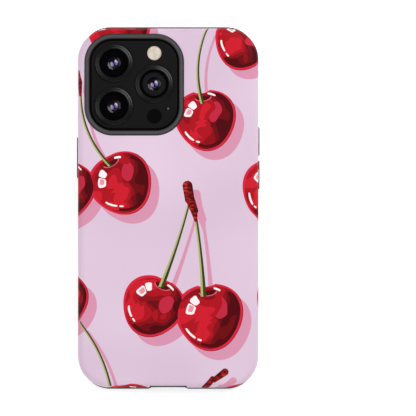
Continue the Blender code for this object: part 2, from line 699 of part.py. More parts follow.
def build_camera(name, centre):
    """One rear camera: its trim ring, cover glass, barrel, front element and sensor."""
    seat = LENS_GLASS_RADIUS + FIT
    glass_top = RING_TOP - LENS_GLASS_DROP
    turned(
        f"{name}_lens_ring",
        [
            (seat + LENS_GLASS_DROP, RING_TOP),
            (RING_RADIUS - RING_CHAMFER, RING_TOP),
            (RING_RADIUS, RING_TOP - RING_CHAMFER),
            (RING_RADIUS, ISLAND_SPAN[1] + FIT),
            (SPIGOT_RADIUS, ISLAND_SPAN[1] + FIT),
            (SPIGOT_RADIUS, SPIGOT_FOOT),
            (SHELF_RADIUS, SPIGOT_FOOT),
            (SHELF_RADIUS, SHELF_TOP),
            (seat, SHELF_TOP),
            (seat, glass_top),
        ],
        centre, "band_metal",
    )
    disc(f"{name}_lens_glass", LENS_GLASS_RADIUS, (SHELF_TOP + FIT, glass_top), centre,
         "lens_glass")
    turned(
        f"{name}_lens_barrel",
        [
            (0.0, WELL_SPAN[0]),
            (WELL_RADIUS, WELL_SPAN[0]),
            (WELL_RADIUS, WELL_SPAN[1]),
            (BARREL_MOUTH, BARREL_SPAN[1]),
            (BARREL_RADIUS, BARREL_SPAN[1]),
            (BARREL_RADIUS, BARREL_SPAN[0]),
            (0.0, BARREL_SPAN[0]),
        ],
        centre, "black_plastic", steps=24,
    )
    turned(
        f"{name}_lens_element",
        [
            (0.0, ELEMENT_SPAN[1]),
            ELEMENT_BROW,
            (ELEMENT_RADIUS, ELEMENT_RIM),
            (ELEMENT_RADIUS, ELEMENT_SPAN[0]),
            (0.0, ELEMENT_SPAN[0]),
        ],
        centre, "lens_glass", steps=20,
    )
    slab(f"{name}_camera_sensor", SENSOR_SIZE, SENSOR_SPAN, 1.0 * MM, centre,
         "black_plastic", corner_steps=2)


def inner_block(name, size, span, corner, centre, material):
    """A block inside the phone, from its values in millimetres."""
    size, span, centre = ([value * MM for value in values] for values in (size, span, centre))
    return slab(name, size, span, corner * MM, centre, material, corner_steps=3)


def build_insides():
    for name, values in BLOCKS.items():
        inner_block(name, *values)
    join(bpy.data.objects["battery"], inner_block("battery_foot", *BATTERY_FOOT))
    annulus("charging_coil", COIL_RADII, CHARGING_SPAN, "copper", ROUND)
    annulus("magnet_ring", MAGNET_RADII, CHARGING_SPAN, "steel", FINE)


def build_port():
    """The charging connector: a pill-shaped steel mouth with a tongue inside."""
    face = PHONE_LENGTH / 2 - PORT_SUNK
    inner = face - PORT_DEPTH
    port = end_pill("charging_port", PORT_SHELL, (inner, face), 0.0, PHONE_MIDDLE,
                    material="steel")
    cut(port, end_pill("port_mouth", PORT_MOUTH, (inner + PORT_BACK_WALL, BEYOND), 0.0,
                       PHONE_MIDDLE))
    y = -inner - PORT_BACK_WALL - FIT - TONGUE_SIZE[1] / 2
    slab("port_tongue", TONGUE_SIZE, TONGUE_SPAN, TONGUE_CORNER, (0.0, y), "black_plastic",
         corner_steps=2)


def main():
    clear_scene()
    new_collection("phone_in_case")
    new_collection("cutters")
    make_materials()
    build_shell()
    build_liner()
    build_keys()
    build_band()
    build_screen()
    build_back_glass()
    build_island()
    build_insides()
    build_port()


main()
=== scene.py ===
"""Looks of a phone in its printed two-layer case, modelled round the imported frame.

The case lies face down. X runs across the phone, Y to its top edge and Z out of its back.
Lengths in the lists of the print are millimetres, on the shell's surface laid out flat.
"""

import math
from contextlib import contextmanager

import bmesh
import bpy
from bpy.props import FloatProperty, FloatVectorProperty, IntProperty, PointerProperty
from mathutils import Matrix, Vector


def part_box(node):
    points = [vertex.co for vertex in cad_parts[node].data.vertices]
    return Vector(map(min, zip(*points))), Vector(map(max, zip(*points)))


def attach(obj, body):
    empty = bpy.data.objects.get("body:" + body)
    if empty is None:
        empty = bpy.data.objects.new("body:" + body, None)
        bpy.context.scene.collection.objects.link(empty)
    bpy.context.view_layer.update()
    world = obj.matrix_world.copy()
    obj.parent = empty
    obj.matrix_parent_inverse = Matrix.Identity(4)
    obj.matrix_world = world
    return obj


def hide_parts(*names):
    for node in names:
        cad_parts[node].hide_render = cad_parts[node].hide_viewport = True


bl_info = {
    "name": "Phone in a printed case",
    "version": (1, 0, 0),
    "blender": (4, 5, 0),
    "location": "3D View > Sidebar > Phone Case",
    "description": "Models the finished surfaces of a phone in its two-layer case",
    "category": "Object",
}

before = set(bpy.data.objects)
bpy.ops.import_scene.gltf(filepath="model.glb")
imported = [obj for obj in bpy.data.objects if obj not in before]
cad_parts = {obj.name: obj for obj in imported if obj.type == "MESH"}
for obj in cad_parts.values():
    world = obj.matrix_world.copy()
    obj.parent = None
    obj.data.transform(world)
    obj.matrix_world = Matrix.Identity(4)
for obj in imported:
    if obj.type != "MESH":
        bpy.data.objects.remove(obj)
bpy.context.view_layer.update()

MM = 0.001
ROOT = "phone_and_case"
X, Y, Z = 0, 1, 2
TOUCH = 1e-6
MERGE = 4 * TOUCH
SMOOTH_ANGLE = math.radians(28)
DRILL_LOW = 8 * MM
DRILL_TOP = 12 * MM

LENSES = ("main", "wide", "tele")
KEYS = ("power", "volume_up", "volume_down")


def srgb(red, green, blue):
    """A colour from its 0 to 255 display values, as the linear values that shaders use."""
    def linear(value):
        share = value / 255
        return share / 12.92 if share <= 0.04045 else ((share + 0.055) / 1.055) ** 2.4
    return (linear(red), linear(green), linear(blue), 1.0)


def tinted(tone, factor):
    """A colour made lighter or darker by a factor."""
    return (*(min(1.0, channel * factor) for channel in tone[:3]), 1.0)


# ---------------------------------------------------------------- settings


def length(name, description, millimetres):
    return FloatProperty(
        name=name, description=description, default=millimetres * MM, unit="LENGTH",
        subtype="DISTANCE", min=0.0, precision=5,
    )


def colour(name, description, red, green, blue):
    return FloatVectorProperty(
        name=name, description=description, default=srgb(red, green, blue), size=4,
        subtype="COLOR", min=0.0, max=1.0,
    )


def share(name, description, value):
    return FloatProperty(
        name=name, description=description, default=value, subtype="FACTOR", min=0.0,
        max=1.0,
    )


class ShellSettings(bpy.types.PropertyGroup):
    corner: length("Corner radius", "Radius of the shell's corners, seen from the back", 13.3)
    edge: length("Edge round", "Radius where the back turns into the sides", 3.2)
    inner_edge: length("Inner edge round", "The same radius on the inside of the shell", 2.1)
    wall: length("Side wall", "Thickness of the shell's sides", 1.0)
    back_wall: length("Back wall", "Thickness of the shell's back", 0.9)
    bare_band: length("Bare band", "Height of the unprinted band along the front edge", 0.85)
    roughness: share("Roughness", "Roughness of the printed surface", 0.42)
    bare: colour("Bare plastic", "Colour of the plastic under the print", 247, 246, 246)


class PrintSettings(bpy.types.PropertyGroup):
    ground: colour("Ground", "Colour of the print's ground", 220, 195, 216)
    shadow: colour("Shadow", "Colour of the painted shadows", 219, 150, 178)
    rim: colour("Rim", "Colour of the light that runs round a cherry", 216, 38, 62)
    highlight: colour("Highlight", "Colour of the brightest spots on a cherry", 252, 243, 245)
    glow: colour("Glow", "Colour inside the larger highlights", 240, 150, 160)
    stem_light: colour("Stem, lit side", "Colour of a stem on its lit side", 178, 182, 116)
    stem_dark: colour("Stem, dark side", "Colour of a stem on its dark side", 56, 66, 26)
    knob: colour("Knob", "Colour of the woody knob on a stem", 126, 22, 26)
    shadow_right: length("Shadow to the right", "How far shadows fall to the right", 3.4)
    shadow_down: length("Shadow down", "How far shadows fall downwards", 3.7)


class LinerSettings(bpy.types.PropertyGroup):
    lip_round: length("Lip round", "Radius of the outer edge that meets a table", 1.45)
    rim_wall: length("Rim wall", "Wall thickness of the camera rim", 2.0)
    rim_round: length("Rim round", "Radius of the camera rim's top edges", 0.94)
    rim_corner: length("Rim corner", "Corner radius of the camera rim", 11.75)
    tone: colour("Liner", "Colour of the soft liner", 45, 44, 45)
    cover_tone: colour("Button cover", "Colour of the button covers", 50, 50, 50)


class PhoneSettings(bpy.types.PropertyGroup):
    ring_turns: IntProperty(
        name="Ring sides", description="Sides on each turned ring", default=96, min=24, max=256
    )
    metal: colour("Band", "Colour of the coated metal band", 46, 45, 44)
    glass: colour("Glass", "Colour of the back glass under its satin finish", 13, 13, 13)
    # The coating's colour is used only for the reflections painted on the front elements'
    # pupils.
    coating: colour("Lens coating", "Colour that the lens coating reflects", 158, 132, 216)
    flash: colour("Flash", "Colour of the flash diffuser", 218, 207, 192)


class StageSettings(bpy.types.PropertyGroup):
    floor: colour("Floor", "Colour of the floor", 250, 250, 250)
    floor_glow: FloatProperty(
        name="Floor glow", description="How strongly the light table under it glows", default=0.5
    )
    lens: FloatProperty(name="Lens", description="Focal length in millimetres", default=250.0)
    view_width: length("View width", "Width of the view at the shell's back", 174.0)
    view_right: length("View offset", "How far right of the phone the view is centred", 16.67)
    key: FloatProperty(name="Key", description="Key light", default=13.5, subtype="POWER")
    fill: FloatProperty(name="Fill", description="Fill light", default=7.5, subtype="POWER")


SETTINGS = {
    "case_shell": ShellSettings,
    "case_print": PrintSettings,
    "case_liner": LinerSettings,
    "case_phone": PhoneSettings,
    "case_stage": StageSettings,
}


# ---------------------------------------------------------------- modelling by hand


def clear_selection():
    bpy.ops.object.select_all(action="DESELECT")


def activate(piece):
    clear_selection()
    piece.select_set(True)
    bpy.context.view_layer.objects.active = piece


@contextmanager
def editing(piece):
    """Edit mode on one piece, with nothing in it selected."""
    activate(piece)
    bpy.ops.object.mode_set(mode="EDIT")
    bpy.ops.mesh.select_mode(type="EDGE")
    bpy.ops.mesh.select_all(action="DESELECT")
    yield
    bpy.ops.object.mode_set(mode="OBJECT")


def pick(piece, kind, wanted):
    """In edit mode, selects only the edges or faces that pass the test."""
    bpy.ops.mesh.select_all(action="DESELECT")
    mesh = bmesh.from_edit_mesh(piece.data)
    for item in getattr(mesh, kind):
        if wanted(item):
            item.select_set(True)
    bmesh.update_edit_mesh(piece.data)


def at(axis, level):
    """A test for edges or faces that lie at one level of an axis."""
    return lambda item: all(abs(v.co[axis] - level) < TOUCH for v in item.verts)


def along(axis):
    """A test for edges that run along an axis."""
    others = [i for i in (X, Y, Z) if i != axis]
    return lambda e: all(abs(e.verts[0].co[i] - e.verts[1].co[i]) < TOUCH for i in others)


def both(first, second):
    """A test for what passes two others."""
    return lambda item: first(item) and second(item)


def bevel(piece, wanted, radius, segments):
    """Rounds the edges that pass a test, and merges points that meet where rounds do."""
    with editing(piece):
        pick(piece, "edges", wanted)
        bpy.ops.mesh.bevel(offset=radius, segments=segments, affect="EDGES", profile=0.5)
        bpy.ops.mesh.select_all(action="SELECT")
        bpy.ops.mesh.remove_doubles(threshold=MERGE)


def block(name, low, high, corner=0.0, axis=Z, segments=24, ends=(), end_segments=8):
    """A box between two corners, with its edges along one axis rounded, and then its ends.
    Each of ends is a level on that axis and the radius of the round there."""
    clear_selection()
    low, high = Vector(low), Vector(high)
    bpy.ops.mesh.primitive_cube_add(size=1, location=(low + high) / 2, scale=high - low)
    bpy.ops.object.transform_apply(location=True, rotation=True, scale=True)
    piece = bpy.context.active_object
    piece.name = piece.data.name = name
    if corner:
        bevel(piece, along(axis), corner, segments)
    for level, radius in ends:
        bevel(piece, at(axis, level), radius, end_segments)
    return piece


def middle(node):
    """The middle of a node's box."""
    low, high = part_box(node)
    return (low + high) / 2


def round_size(node):
    """A round node's radius, and the heights of its foot and its top."""
    low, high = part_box(node)
    return (high.x - low.x) / 2, low.z, high.z


def slab(name, half, low, high, corner=0.0, **rounds):
    """A block about the Z axis, by half its width and length and by its two heights."""
    return block(name, (-half[X], -half[Y], low), (half[X], half[Y], high), corner, **rounds)


def pill(name, low, high, axis=X, **rounds):
    """A block along an axis whose sides are rounded as far as its height lets them."""
    return block(name, low, high, (high[Z] - low[Z]) / 2 - TOUCH, axis, **rounds)


def key_shape(name, node, soft_edge, **rounds):
    """A pill that fills a node's box, with a softer edge round its outer face."""
    low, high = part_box(node)
    outer = high.x if high.x > 0 else low.x
    return pill(name, low, high, ends=[(outer, soft_edge)], **rounds)


def drill(piece, radius, centre, sides=96):
    """Drills a round hole through the back of a piece."""
    clear_selection()
    bpy.ops.mesh.primitive_cylinder_add(
        vertices=sides, radius=radius, depth=DRILL_TOP - DRILL_LOW,
        location=(centre[X], centre[Y], (DRILL_LOW + DRILL_TOP) / 2),
    )
    bpy.ops.object.transform_apply(location=True, rotation=True, scale=True)
    carve(piece, "DIFFERENCE", bpy.context.active_object)


def turned(name, profile, centre, sides):
    """A turned solid. A circle is extruded and resized from point to point of the profile, as
    (radius, height). It closes on itself, unless it starts and ends on the axis."""
    clear_selection()
    x, y = centre
    solid = profile[0][0] == 0.0
    loops = profile[1:-1] if solid else profile
    radius, height = loops[0]
    bpy.ops.mesh.primitive_circle_add(
        vertices=sides, radius=radius, location=(x, y, height),
        fill_type="NGON" if solid else "NOTHING",
    )
    bpy.ops.object.transform_apply(location=True, rotation=True, scale=True)
    piece = bpy.context.active_object
    piece.name = piece.data.name = name
    extrude = bpy.ops.mesh.extrude_region_move if solid else bpy.ops.mesh.extrude_edges_move
    with editing(piece):
        bpy.ops.mesh.select_all(action="SELECT")
        for new_radius, new_height in loops[1:]:
            extrude(TRANSFORM_OT_translate={"value": (0, 0, new_height - height)})
            ratio = new_radius / radius
            bpy.ops.transform.resize(
                value=(ratio, ratio, 1), center_override=(x, y, new_height)
            )
            radius, height = new_radius, new_height
        if not solid:
            pick(piece, "edges", lambda e: len(e.link_faces) == 1)
            bpy.ops.mesh.bridge_edge_loops()
        bpy.ops.mesh.select_all(action="SELECT")
        bpy.ops.mesh.normals_make_consistent(inside=False)
    return piece


def disc(name, node, chamfer, sides):
    """A turned disc that fills a node's box, with its top edge cut back."""
    radius, foot, top = round_size(node)
    profile = [(0.0, foot), (radius, foot), (radius, top - chamfer), (radius - chamfer, top),
               (0.0, top)]
    return turned(name, profile, middle(node)[:2], sides)


def carve(piece, operation, *others):
    """Cuts, joins or crops a piece by others, which are used up."""
    for other in others:
        modifier = piece.modifiers.new(other.name, "BOOLEAN")
        modifier.operation = operation
        modifier.solver = "EXACT"
        modifier.material_mode = "TRANSFER"
        modifier.object = other
        activate(piece)
        bpy.ops.object.modifier_apply(modifier=modifier.name)
        bpy.data.objects.remove(other)


def paint(piece, material):
    """Gives a piece its one material, and returns the piece."""
    piece.data.materials.clear()
    piece.data.materials.append(material)
    return piece


def settle(piece, body, node):
    """Shades a finished piece, gives it its body, and hides the node it stands for."""
    activate(piece)
    bpy.ops.object.shade_smooth_by_angle(angle=SMOOTH_ANGLE)
    modifier = piece.modifiers.new("even_shading", "WEIGHTED_NORMAL")
    modifier.keep_sharp = True
    bpy.ops.object.modifier_apply(modifier=modifier.name)
    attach(piece, body)
    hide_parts(node)


# ---------------------------------------------------------------- material maths


def maths(operation, reflected=False):
    """A method of Wire that adds one Math node."""
    def method(self, *others):
        values = (*others, self) if reflected else (self, *others)
        return self.shade.math(operation, *values)
    return method


class Wire:
    """A socket in a material. Arithmetic on it adds Math nodes, and 0 and 1 are its masks."""

    __add__ = __radd__ = maths("ADD")
    __sub__ = maths("SUBTRACT")
    __rsub__ = maths("SUBTRACT", reflected=True)
    __mul__ = __rmul__ = __and__ = maths("MULTIPLY")
    __truediv__ = maths("DIVIDE")
    __rtruediv__ = maths("DIVIDE", reflected=True)
    __abs__ = maths("ABSOLUTE")
    __gt__ = maths("GREATER_THAN")
    __lt__ = maths("LESS_THAN")
    __or__ = at_least = maths("MAXIMUM")
    at_most = maths("MINIMUM")

    def __init__(self, shade, socket):
        self.shade = shade
        self.socket = socket

    def math(self, operation, *others):
        return self.shade.math(operation, self, *others)

    def between(self, low, high):
        return (self > low) & (self < high)

    def ramp(self, low, high):
        """Rises from 0 at low to 1 at high, and stays within them."""
        return self.shade.node(
            "ShaderNodeMapRange", {"clamp": True}, (self, low, high, 0.0, 1.0)
        )


def away_from_axis(x, y):
    """How far a place is from an axis."""
    return (x * x + y * y).math("SQRT")


class Shade:
    """A new material on a Principled shader, and one method that adds its other nodes."""

    def __init__(self, name, **constants):
        self.material = bpy.data.materials.new(name)
        self.material.use_nodes = True
        self.tree = self.material.node_tree
        self.shader = self.tree.nodes["Principled BSDF"]
        for key, value in constants.items():
            self.shader.inputs[key.replace("_", " ").title()].default_value = value

    def node(self, kind, settings=None, inputs=(), output=0):
        made = self.tree.nodes.new(kind)
        for key, value in (settings or {}).items():
            if key == "stops":
                self.set_stops(made.color_ramp, value)
            else:
                setattr(made, key, value)
        for key, value in inputs.items() if isinstance(inputs, dict) else enumerate(inputs):
            self.feed(made.inputs[key], value)
        return Wire(self, made.outputs[output])

    def set_stops(self, ramp, stops):
        ramp.interpolation = "CONSTANT"
        for number, (position, tone) in enumerate(stops):
            stop = ramp.elements[0] if number == 0 else ramp.elements.new(position)
            stop.position = position
            stop.color = tone
        ramp.elements.remove(ramp.elements[-1])

    def feed(self, socket, value):
        if isinstance(value, Wire):
            self.tree.links.new(value.socket, socket)
        else:
            socket.default_value = value

    def math(self, operation, *values):
        return self.node("ShaderNodeMath", {"operation": operation}, values)

    def vector(self, operation, *values, output=0):
        return self.node("ShaderNodeVectorMath", {"operation": operation}, values, output)

    def mix(self, first, second, factor):
        return self.node(
            "ShaderNodeMix", {"data_type": "RGBA"}, {0: factor, 6: first, 7: second}, 2
        )

    def mix_place(self, first, second, factor):
        return self.node(
            "ShaderNodeMix", {"data_type": "VECTOR"}, {0: factor, 4: first, 5: second}, 1
        )

    def mix_value(self, first, second, factor):
        return self.node("ShaderNodeMix", {}, {0: factor, 2: first, 3: second})

    def place(self, centre=None):
        """Object coordinates in millimetres, from a centre if one is given in metres."""
        where = self.node("ShaderNodeTexCoord", output=3)
        place = self.node("ShaderNodeVectorMath", {"operation": "SCALE"}, {0: where, 3: 1 / MM})
        if centre is None:
            return place
        return self.vector("SUBTRACT", place, (centre[X] / MM, centre[Y] / MM, 0.0))

    def split(self, vector):
        made = self.node("ShaderNodeSeparateXYZ", inputs=(vector,)).socket.node
        return [Wire(self, socket) for socket in made.outputs]

    def join(self, x, y, z=0.0):
        return self.node("ShaderNodeCombineXYZ", inputs=(x, y, z))

    def noise(self, place, scale, detail=2.0, output=0, dimensions="3D"):
        return self.node(
            "ShaderNodeTexNoise", {"noise_dimensions": dimensions},
            {"Vector": place, "Scale": scale, "Detail": detail}, output,
        )

    def set(self, name, value):
        self.feed(self.shader.inputs[name], value)
        return self

    def finish(self, tone, roughness=None):
        """Links the colour, and the roughness if it varies, and returns the material."""
        self.set("Base Color", tone)
        if roughness is not None:
            self.set("Roughness", roughness)
        return self.material

    def bump(self, height, distance, strength=1.0):
        """Raises the surface by a height from 0 to 1 times a distance in millimetres."""
        normal = self.node(
            "ShaderNodeBump", {},
            {"Height": height, "Distance": distance * MM, "Strength": strength},
        )
        return self.set("Normal", normal)


# ---------------------------------------------------------------- the print

# Each cherry: its middle across and up, its radius, and how far it leans, in degrees.
CHERRIES = (
    (-20.5, 74.6, 13.2, 12),
    (31.6, 70.2, 12.3, -20),
    (15.7, 37.1, 12.8, 8),
    (-19.7, 10.5, 13.2, 28),
    (-43.0, 7.8, 12.4, -10),
    (43.4, 7.6, 12.6, -15),
    (-6.4, -40.9, 12.9, -24),
    (17.4, -45.2, 14.1, 6),
    (-44.7, -38.4, 11.4, 0),
    (-17.0, -85.5, 12.4, 10),
    (31.5, -87.5, 13.2, -30),
    (49.4, -38.3, 11.4, 15),
)

# Each stem: its foot in a cherry, its far end, how far its middle bows to the left of the
# way there, and its width at both ends.
STEMS = (
    ((14.4, 43.6), (16.6, 76.0), 3.0, 1.7, 1.0),
    ((-24.2, 17.6), (-36.8, 49.0), 3.4, 1.6, 1.1),
    ((-3.0, -33.2), (9.2, 4.0), -0.7, 2.3, 1.1),
    ((14.8, -37.0), (11.4, -3.0), -0.5, 2.3, 1.3),
    ((-24.2, -75.0), (-37.4, -47.6), -1.9, 1.4, 1.1),
    ((41.4, -78.0), (45.0, -49.0), -1.2, 1.4, 1.0),
    ((43.2, 16.6), (46.0, 48.0), -1.6, 1.4, 1.0),
    ((31.0, 78.6), (36.0, 104.0), 1.0, 1.4, 1.1),
)

# Each knob: its two ends and its width at both.
KNOBS = (
    ((8.1, 9.3), (9.0, 3.6), 4.2, 4.0),
    ((9.0, 4.2), (11.0, -1.2), 3.9, 3.2),
    ((10.7, -0.6), (11.6, -5.2), 3.1, 1.4),
    ((-38.0, 57.4), (-37.5, 52.6), 1.0, 3.0),
    ((-37.5, 52.6), (-37.1, 47.6), 3.0, 1.8),
    ((15.6, -75.6), (18.6, -71.4), 3.0, 2.2),
    ((19.2, -72.0), (23.8, -68.6), 2.2, 3.0),
    ((45.8, 47.6), (44.6, 52.4), 2.6, 3.6),
)


# The reds of a cherry from dark to light, the browns of a knob, and how bright each one
# starts.
CHERRY_REDS = (
    (0.0, srgb(82, 8, 16)),
    (0.20, srgb(112, 14, 21)),
    (0.38, srgb(144, 17, 27)),
    (0.56, srgb(176, 22, 34)),
    (0.80, srgb(208, 31, 47)),
)
KNOB_LIGHT = ((0.0, srgb(186, 54, 38)), (0.34, srgb(156, 28, 28)))
KNOB_DARK = (0.62, srgb(70, 12, 16))

# Each bright spot on a cherry, and the glow inside one: its two radii, in the cherry's own,
# and its two angles in degrees.
SPOTS = (
    ((0.50, 0.76), (116.0, 136.0)),
    ((0.46, 0.74), (138.5, 165.0)),
    ((0.735, 0.80), (-158.0, -127.0)),
    ((0.74, 0.79), (-122.0, -112.0)),
    ((0.795, 0.86), (60.0, 77.0)),
)
GLOW = ((0.52, 0.68), (141.0, 158.0))

# The specular level of the print and of satin finishes, which are both duller than gloss.
PRINT_GLINT = 0.06
SATIN_GLINT = 0.12


def unrolled(shade, place, shell):
    """The shell's surface laid out flat round its back, in millimetres."""
    corner, edge = shell.corner / MM, shell.edge / MM
    core = (SHELL_HIGH.x / MM - corner, SHELL_HIGH.y / MM - corner)
    edge_height = SHELL_HIGH.z / MM - edge
    x, y, z = shade.split(place)
    out = [(abs(value) - limit).at_least(0.0) for value, limit in zip((x, y), core)]
    reach = away_from_axis(*out)
    flat = corner - edge
    over = (reach - flat).at_least(0.0)
    turn = over.math("ARCTAN2", (z - edge_height).at_least(0.0))
    run = reach.at_most(flat) + turn * edge + (edge_height - z).at_least(0.0)
    grow = run / reach.at_least(0.0001)
    laid = [
        value.math("SIGN") * (abs(value).at_most(limit) + beyond * grow)
        for value, limit, beyond in zip((x, y), core, out)
    ]
    return shade.join(*laid)


# A later cherry in the list covers an earlier one within this share of its radius.
OVERLAP = 0.95


def nearest_cherry(shade, spot):
    """The spot within the nearest cherry, measured in its radii, and that cherry's number."""
    found = None
    for number, (x, y, radius, lean) in enumerate(CHERRIES):
        local = shade.node(
            "ShaderNodeMapping", {"vector_type": "TEXTURE"},
            (spot, (x, y, 0.0), (0.0, 0.0, math.radians(lean)), (radius, radius, 1.0)),
        )
        away = shade.vector("LENGTH", local, output=1)
        if found is None:
            found, nearest, seed = local, away, 0.0
            continue
        closer = away < nearest.at_least(OVERLAP)
        found = shade.mix_place(found, local, closer)
        seed = shade.mix_value(seed, float(number), closer)
        nearest = away.at_most(nearest)
    return found, seed


def fullness(shade, local, seed):
    """How far out a spot in a cherry is: 0 in the middle, and 1 at its outline."""
    x, y, _ = shade.split(local)
    out = shade.vector("LENGTH", local, output=1).at_least(0.001)
    lobes = (3.0 * x * x * y - y * y * y) / (out * out * out)
    notch = (1.0 - x * x * 14.0).at_least(0.0) * (y > 0.0)
    depth = (seed * 0.37).math("FRACT") * 0.13
    return out / (1.0 + lobes * 0.045 - notch * depth)


def beside_line(shade, spot, start, end, unit):
    """How far a spot is along a line, in a unit, and how far it is to the line's left."""
    lean = math.atan2(end[Y] - start[Y], end[X] - start[X])
    local = shade.node(
        "ShaderNodeMapping", {"vector_type": "TEXTURE"},
        (spot, (*start, 0.0), (0.0, 0.0, lean), (unit, 1.0, 1.0)),
    )
    return shade.split(local)[:2]


def strands(shade, spot):
    """Masks of the stems at a spot: all of each stem, and its lit side."""
    cover, lit = 0.0, 0.0
    for start, end, bow, foot, tip in STEMS:
        t, side = beside_line(shade, spot, start, end, math.dist(start, end))
        side = side - t * (1.0 - t) * (4.0 * bow)
        rest = 1.0 - t
        half = rest * rest * ((foot - tip) / 2) + tip / 2
        inside = (abs(side) < half) & t.between(0.0, 1.0)
        cover = inside | cover
        lit = (inside & (side > half * 0.1)) | lit
    return cover, lit


def lumps(shade, spot):
    """Masks of the knobs at a spot, and how far across them it is."""
    cover, across = 0.0, 0.0
    for start, end, first, last in KNOBS:
        span = math.dist(start, end)
        t, side = beside_line(shade, spot, start, end, 1.0)
        part_way = t.at_least(0.0).at_most(span)
        half = part_way * ((last - first) / (2 * span)) + first / 2
        inside = away_from_axis(t - part_way, side) < half
        cover = inside | cover
        across = inside * side | across
    return cover, across


def ellipse(x, y, centre, radii, lean=0.0):
    """1 at the middle of an ellipse, 0 at its edge and less outside it."""
    cos, sin = math.cos(math.radians(lean)), math.sin(math.radians(lean))
    dx, dy = x - centre[0], y - centre[1]
    a = (dx * cos + dy * sin) / radii[0]
    b = (dy * cos - dx * sin) / radii[1]
    return 1.0 - (a * a + b * b)


def patch(radius, angle, reach, sweep):
    """A mask with rounded corners between two radii and two angles."""
    u = (radius - (reach[0] + reach[1]) / 2) / ((reach[1] - reach[0]) / 2)
    v = (angle - (sweep[0] + sweep[1]) / 2) / ((sweep[1] - sweep[0]) / 2)
    return u * u * u * u + v * v * v * v < 1.0


def paint_cherry(shade, local, seed, out, colours):
    """A cherry painted in flat patches of red, as in a stencil print. Its patches come from
    a slope of light, loosened by noise that differs from cherry to cherry."""
    shift = shade.join(seed * 3.1, seed * 1.7)
    loose = shade.vector("ADD", local, shift)
    wobble = shade.vector("SUBTRACT", shade.noise(loose, 1.5, 1.0, 1, "2D"), (0.5, 0.5, 0.5))
    warped = shade.node(
        "ShaderNodeVectorMath", {"operation": "MULTIPLY_ADD"}, (wobble, (0.32,) * 3, local)
    )
    x, y, _ = shade.split(warped)
    patches = shade.noise(loose, 1.7, 0.0, 0, "2D")
    light = 0.60 - 0.36 * x + 0.16 * y - 0.26 * (x * x + y * y) + (patches - 0.5) * 0.8
    belly = ellipse(x, y, (-0.18, -0.36), (0.46, 0.36), 20).at_least(0.0)
    cheek = ellipse(x, y, (0.36, 0.22), (0.26, 0.34), -20).at_least(0.0)
    light = light + (belly > 0.0) * 0.16 + (belly > 0.55) * 0.12
    tone = shade.node("ShaderNodeValToRGB", {"stops": CHERRY_REDS}, (light,))
    tone = shade.mix(tone, srgb(196, 42, 66), (cheek > 0.25) & (light < 0.6))
    right = x * 0.8 - y * 0.6
    tone = shade.mix(tone, srgb(80, 10, 17), out.between(0.80, 0.885) & (right > 0.15))
    edge = 0.95 - 0.045 * abs(right)
    tone = shade.mix(tone, colours.rim, out > edge)
    tone = shade.mix(tone, srgb(78, 8, 18), (out > 0.985) & (right > 0.35))

    lx, ly, _ = shade.split(local)
    hollow = ellipse(lx, ly, (0.02, 0.73), (0.24, 0.12))
    tone = shade.mix(tone, srgb(232, 110, 126), hollow.between(-0.34, 0.0) & (ly < 0.71))
    tone = shade.mix(tone, srgb(84, 10, 18), hollow > 0.0)
    tone = shade.mix(tone, srgb(150, 18, 28), (hollow > 0.0) & (ly > 0.76))

    radius = away_from_axis(lx, ly)
    angle = ly.math("ARCTAN2", lx) * (180 / math.pi)
    radius = radius + (x - lx) * 0.3
    angle = angle + (y - ly) * 40.0
    bright = 0.0
    for reach, sweep in SPOTS:
        bright = patch(radius, angle, reach, sweep) | bright
    tone = shade.mix(tone, colours.highlight, bright)
    return shade.mix(tone, colours.glow, patch(radius, angle, *GLOW))


def printed_finish(scene):
    """The printed shell: cherries with stems and painted shadows on a pale ground."""
    colours, shell = scene.case_print, scene.case_shell
    shade = Shade("printed_shell").set("Specular IOR Level", PRINT_GLINT)
    place = shade.place()
    spot = unrolled(shade, place, shell)
    shift = (-colours.shadow_right / MM, colours.shadow_down / MM, 0.0)
    cast = shade.vector("ADD", spot, shift)

    cloud = shade.noise(spot, 0.018, 1.0, 0, "2D")
    pale = shade.mix(colours.ground, srgb(238, 214, 234), cloud.ramp(0.35, 0.75) * 0.6)

    local, seed = nearest_cherry(shade, cast)
    dark = fullness(shade, local, seed) < 1.0
    dark = dark | strands(shade, cast)[0]
    dark = dark | lumps(shade, cast)[0]
    tone = shade.mix(pale, colours.shadow, dark)

    local, seed = nearest_cherry(shade, spot)
    out = fullness(shade, local, seed)
    tone = shade.mix(tone, paint_cherry(shade, local, seed, out, colours), out < 1.0)

    cover, lit = strands(shade, spot)
    stem = shade.mix(colours.stem_dark, colours.stem_light, lit)
    tone = shade.mix(tone, stem, cover)

    cover, across = lumps(shade, spot)
    grain = shade.vector("MULTIPLY", spot, (0.55, 1.5, 1.0))
    bark = shade.noise(grain, 0.9, 1.0, 0, "2D") + across * 0.12
    browns = (*KNOB_LIGHT, (0.46, tuple(colours.knob)), KNOB_DARK)
    wood = shade.node("ShaderNodeValToRGB", {"stops": browns}, (bark,))
    tone = shade.mix(tone, wood, cover)

    x, y, z = shade.split(place)
    rise = (abs(y) - SWEEP_START / MM) / ((SWEEP_END - SWEEP_START) / MM)
    rise = rise.at_least(0.0).at_most(1.0)
    front = EDGE_LOW / MM + rise * ((EDGE_HIGH - EDGE_LOW) / MM)
    bare = (z - front) < shell.bare_band / MM
    tone = shade.mix(tone, shell.bare, bare)
    shade.bump(shade.noise(place, 5.0, 2.0), 0.004, 0.35)
    satin = shade.noise(place, 0.9, 3.0).ramp(0.2, 0.8)
    return shade.finish(tone, satin * 0.08 + (shell.roughness - 0.04))


# ---------------------------------------------------------------- other finishes


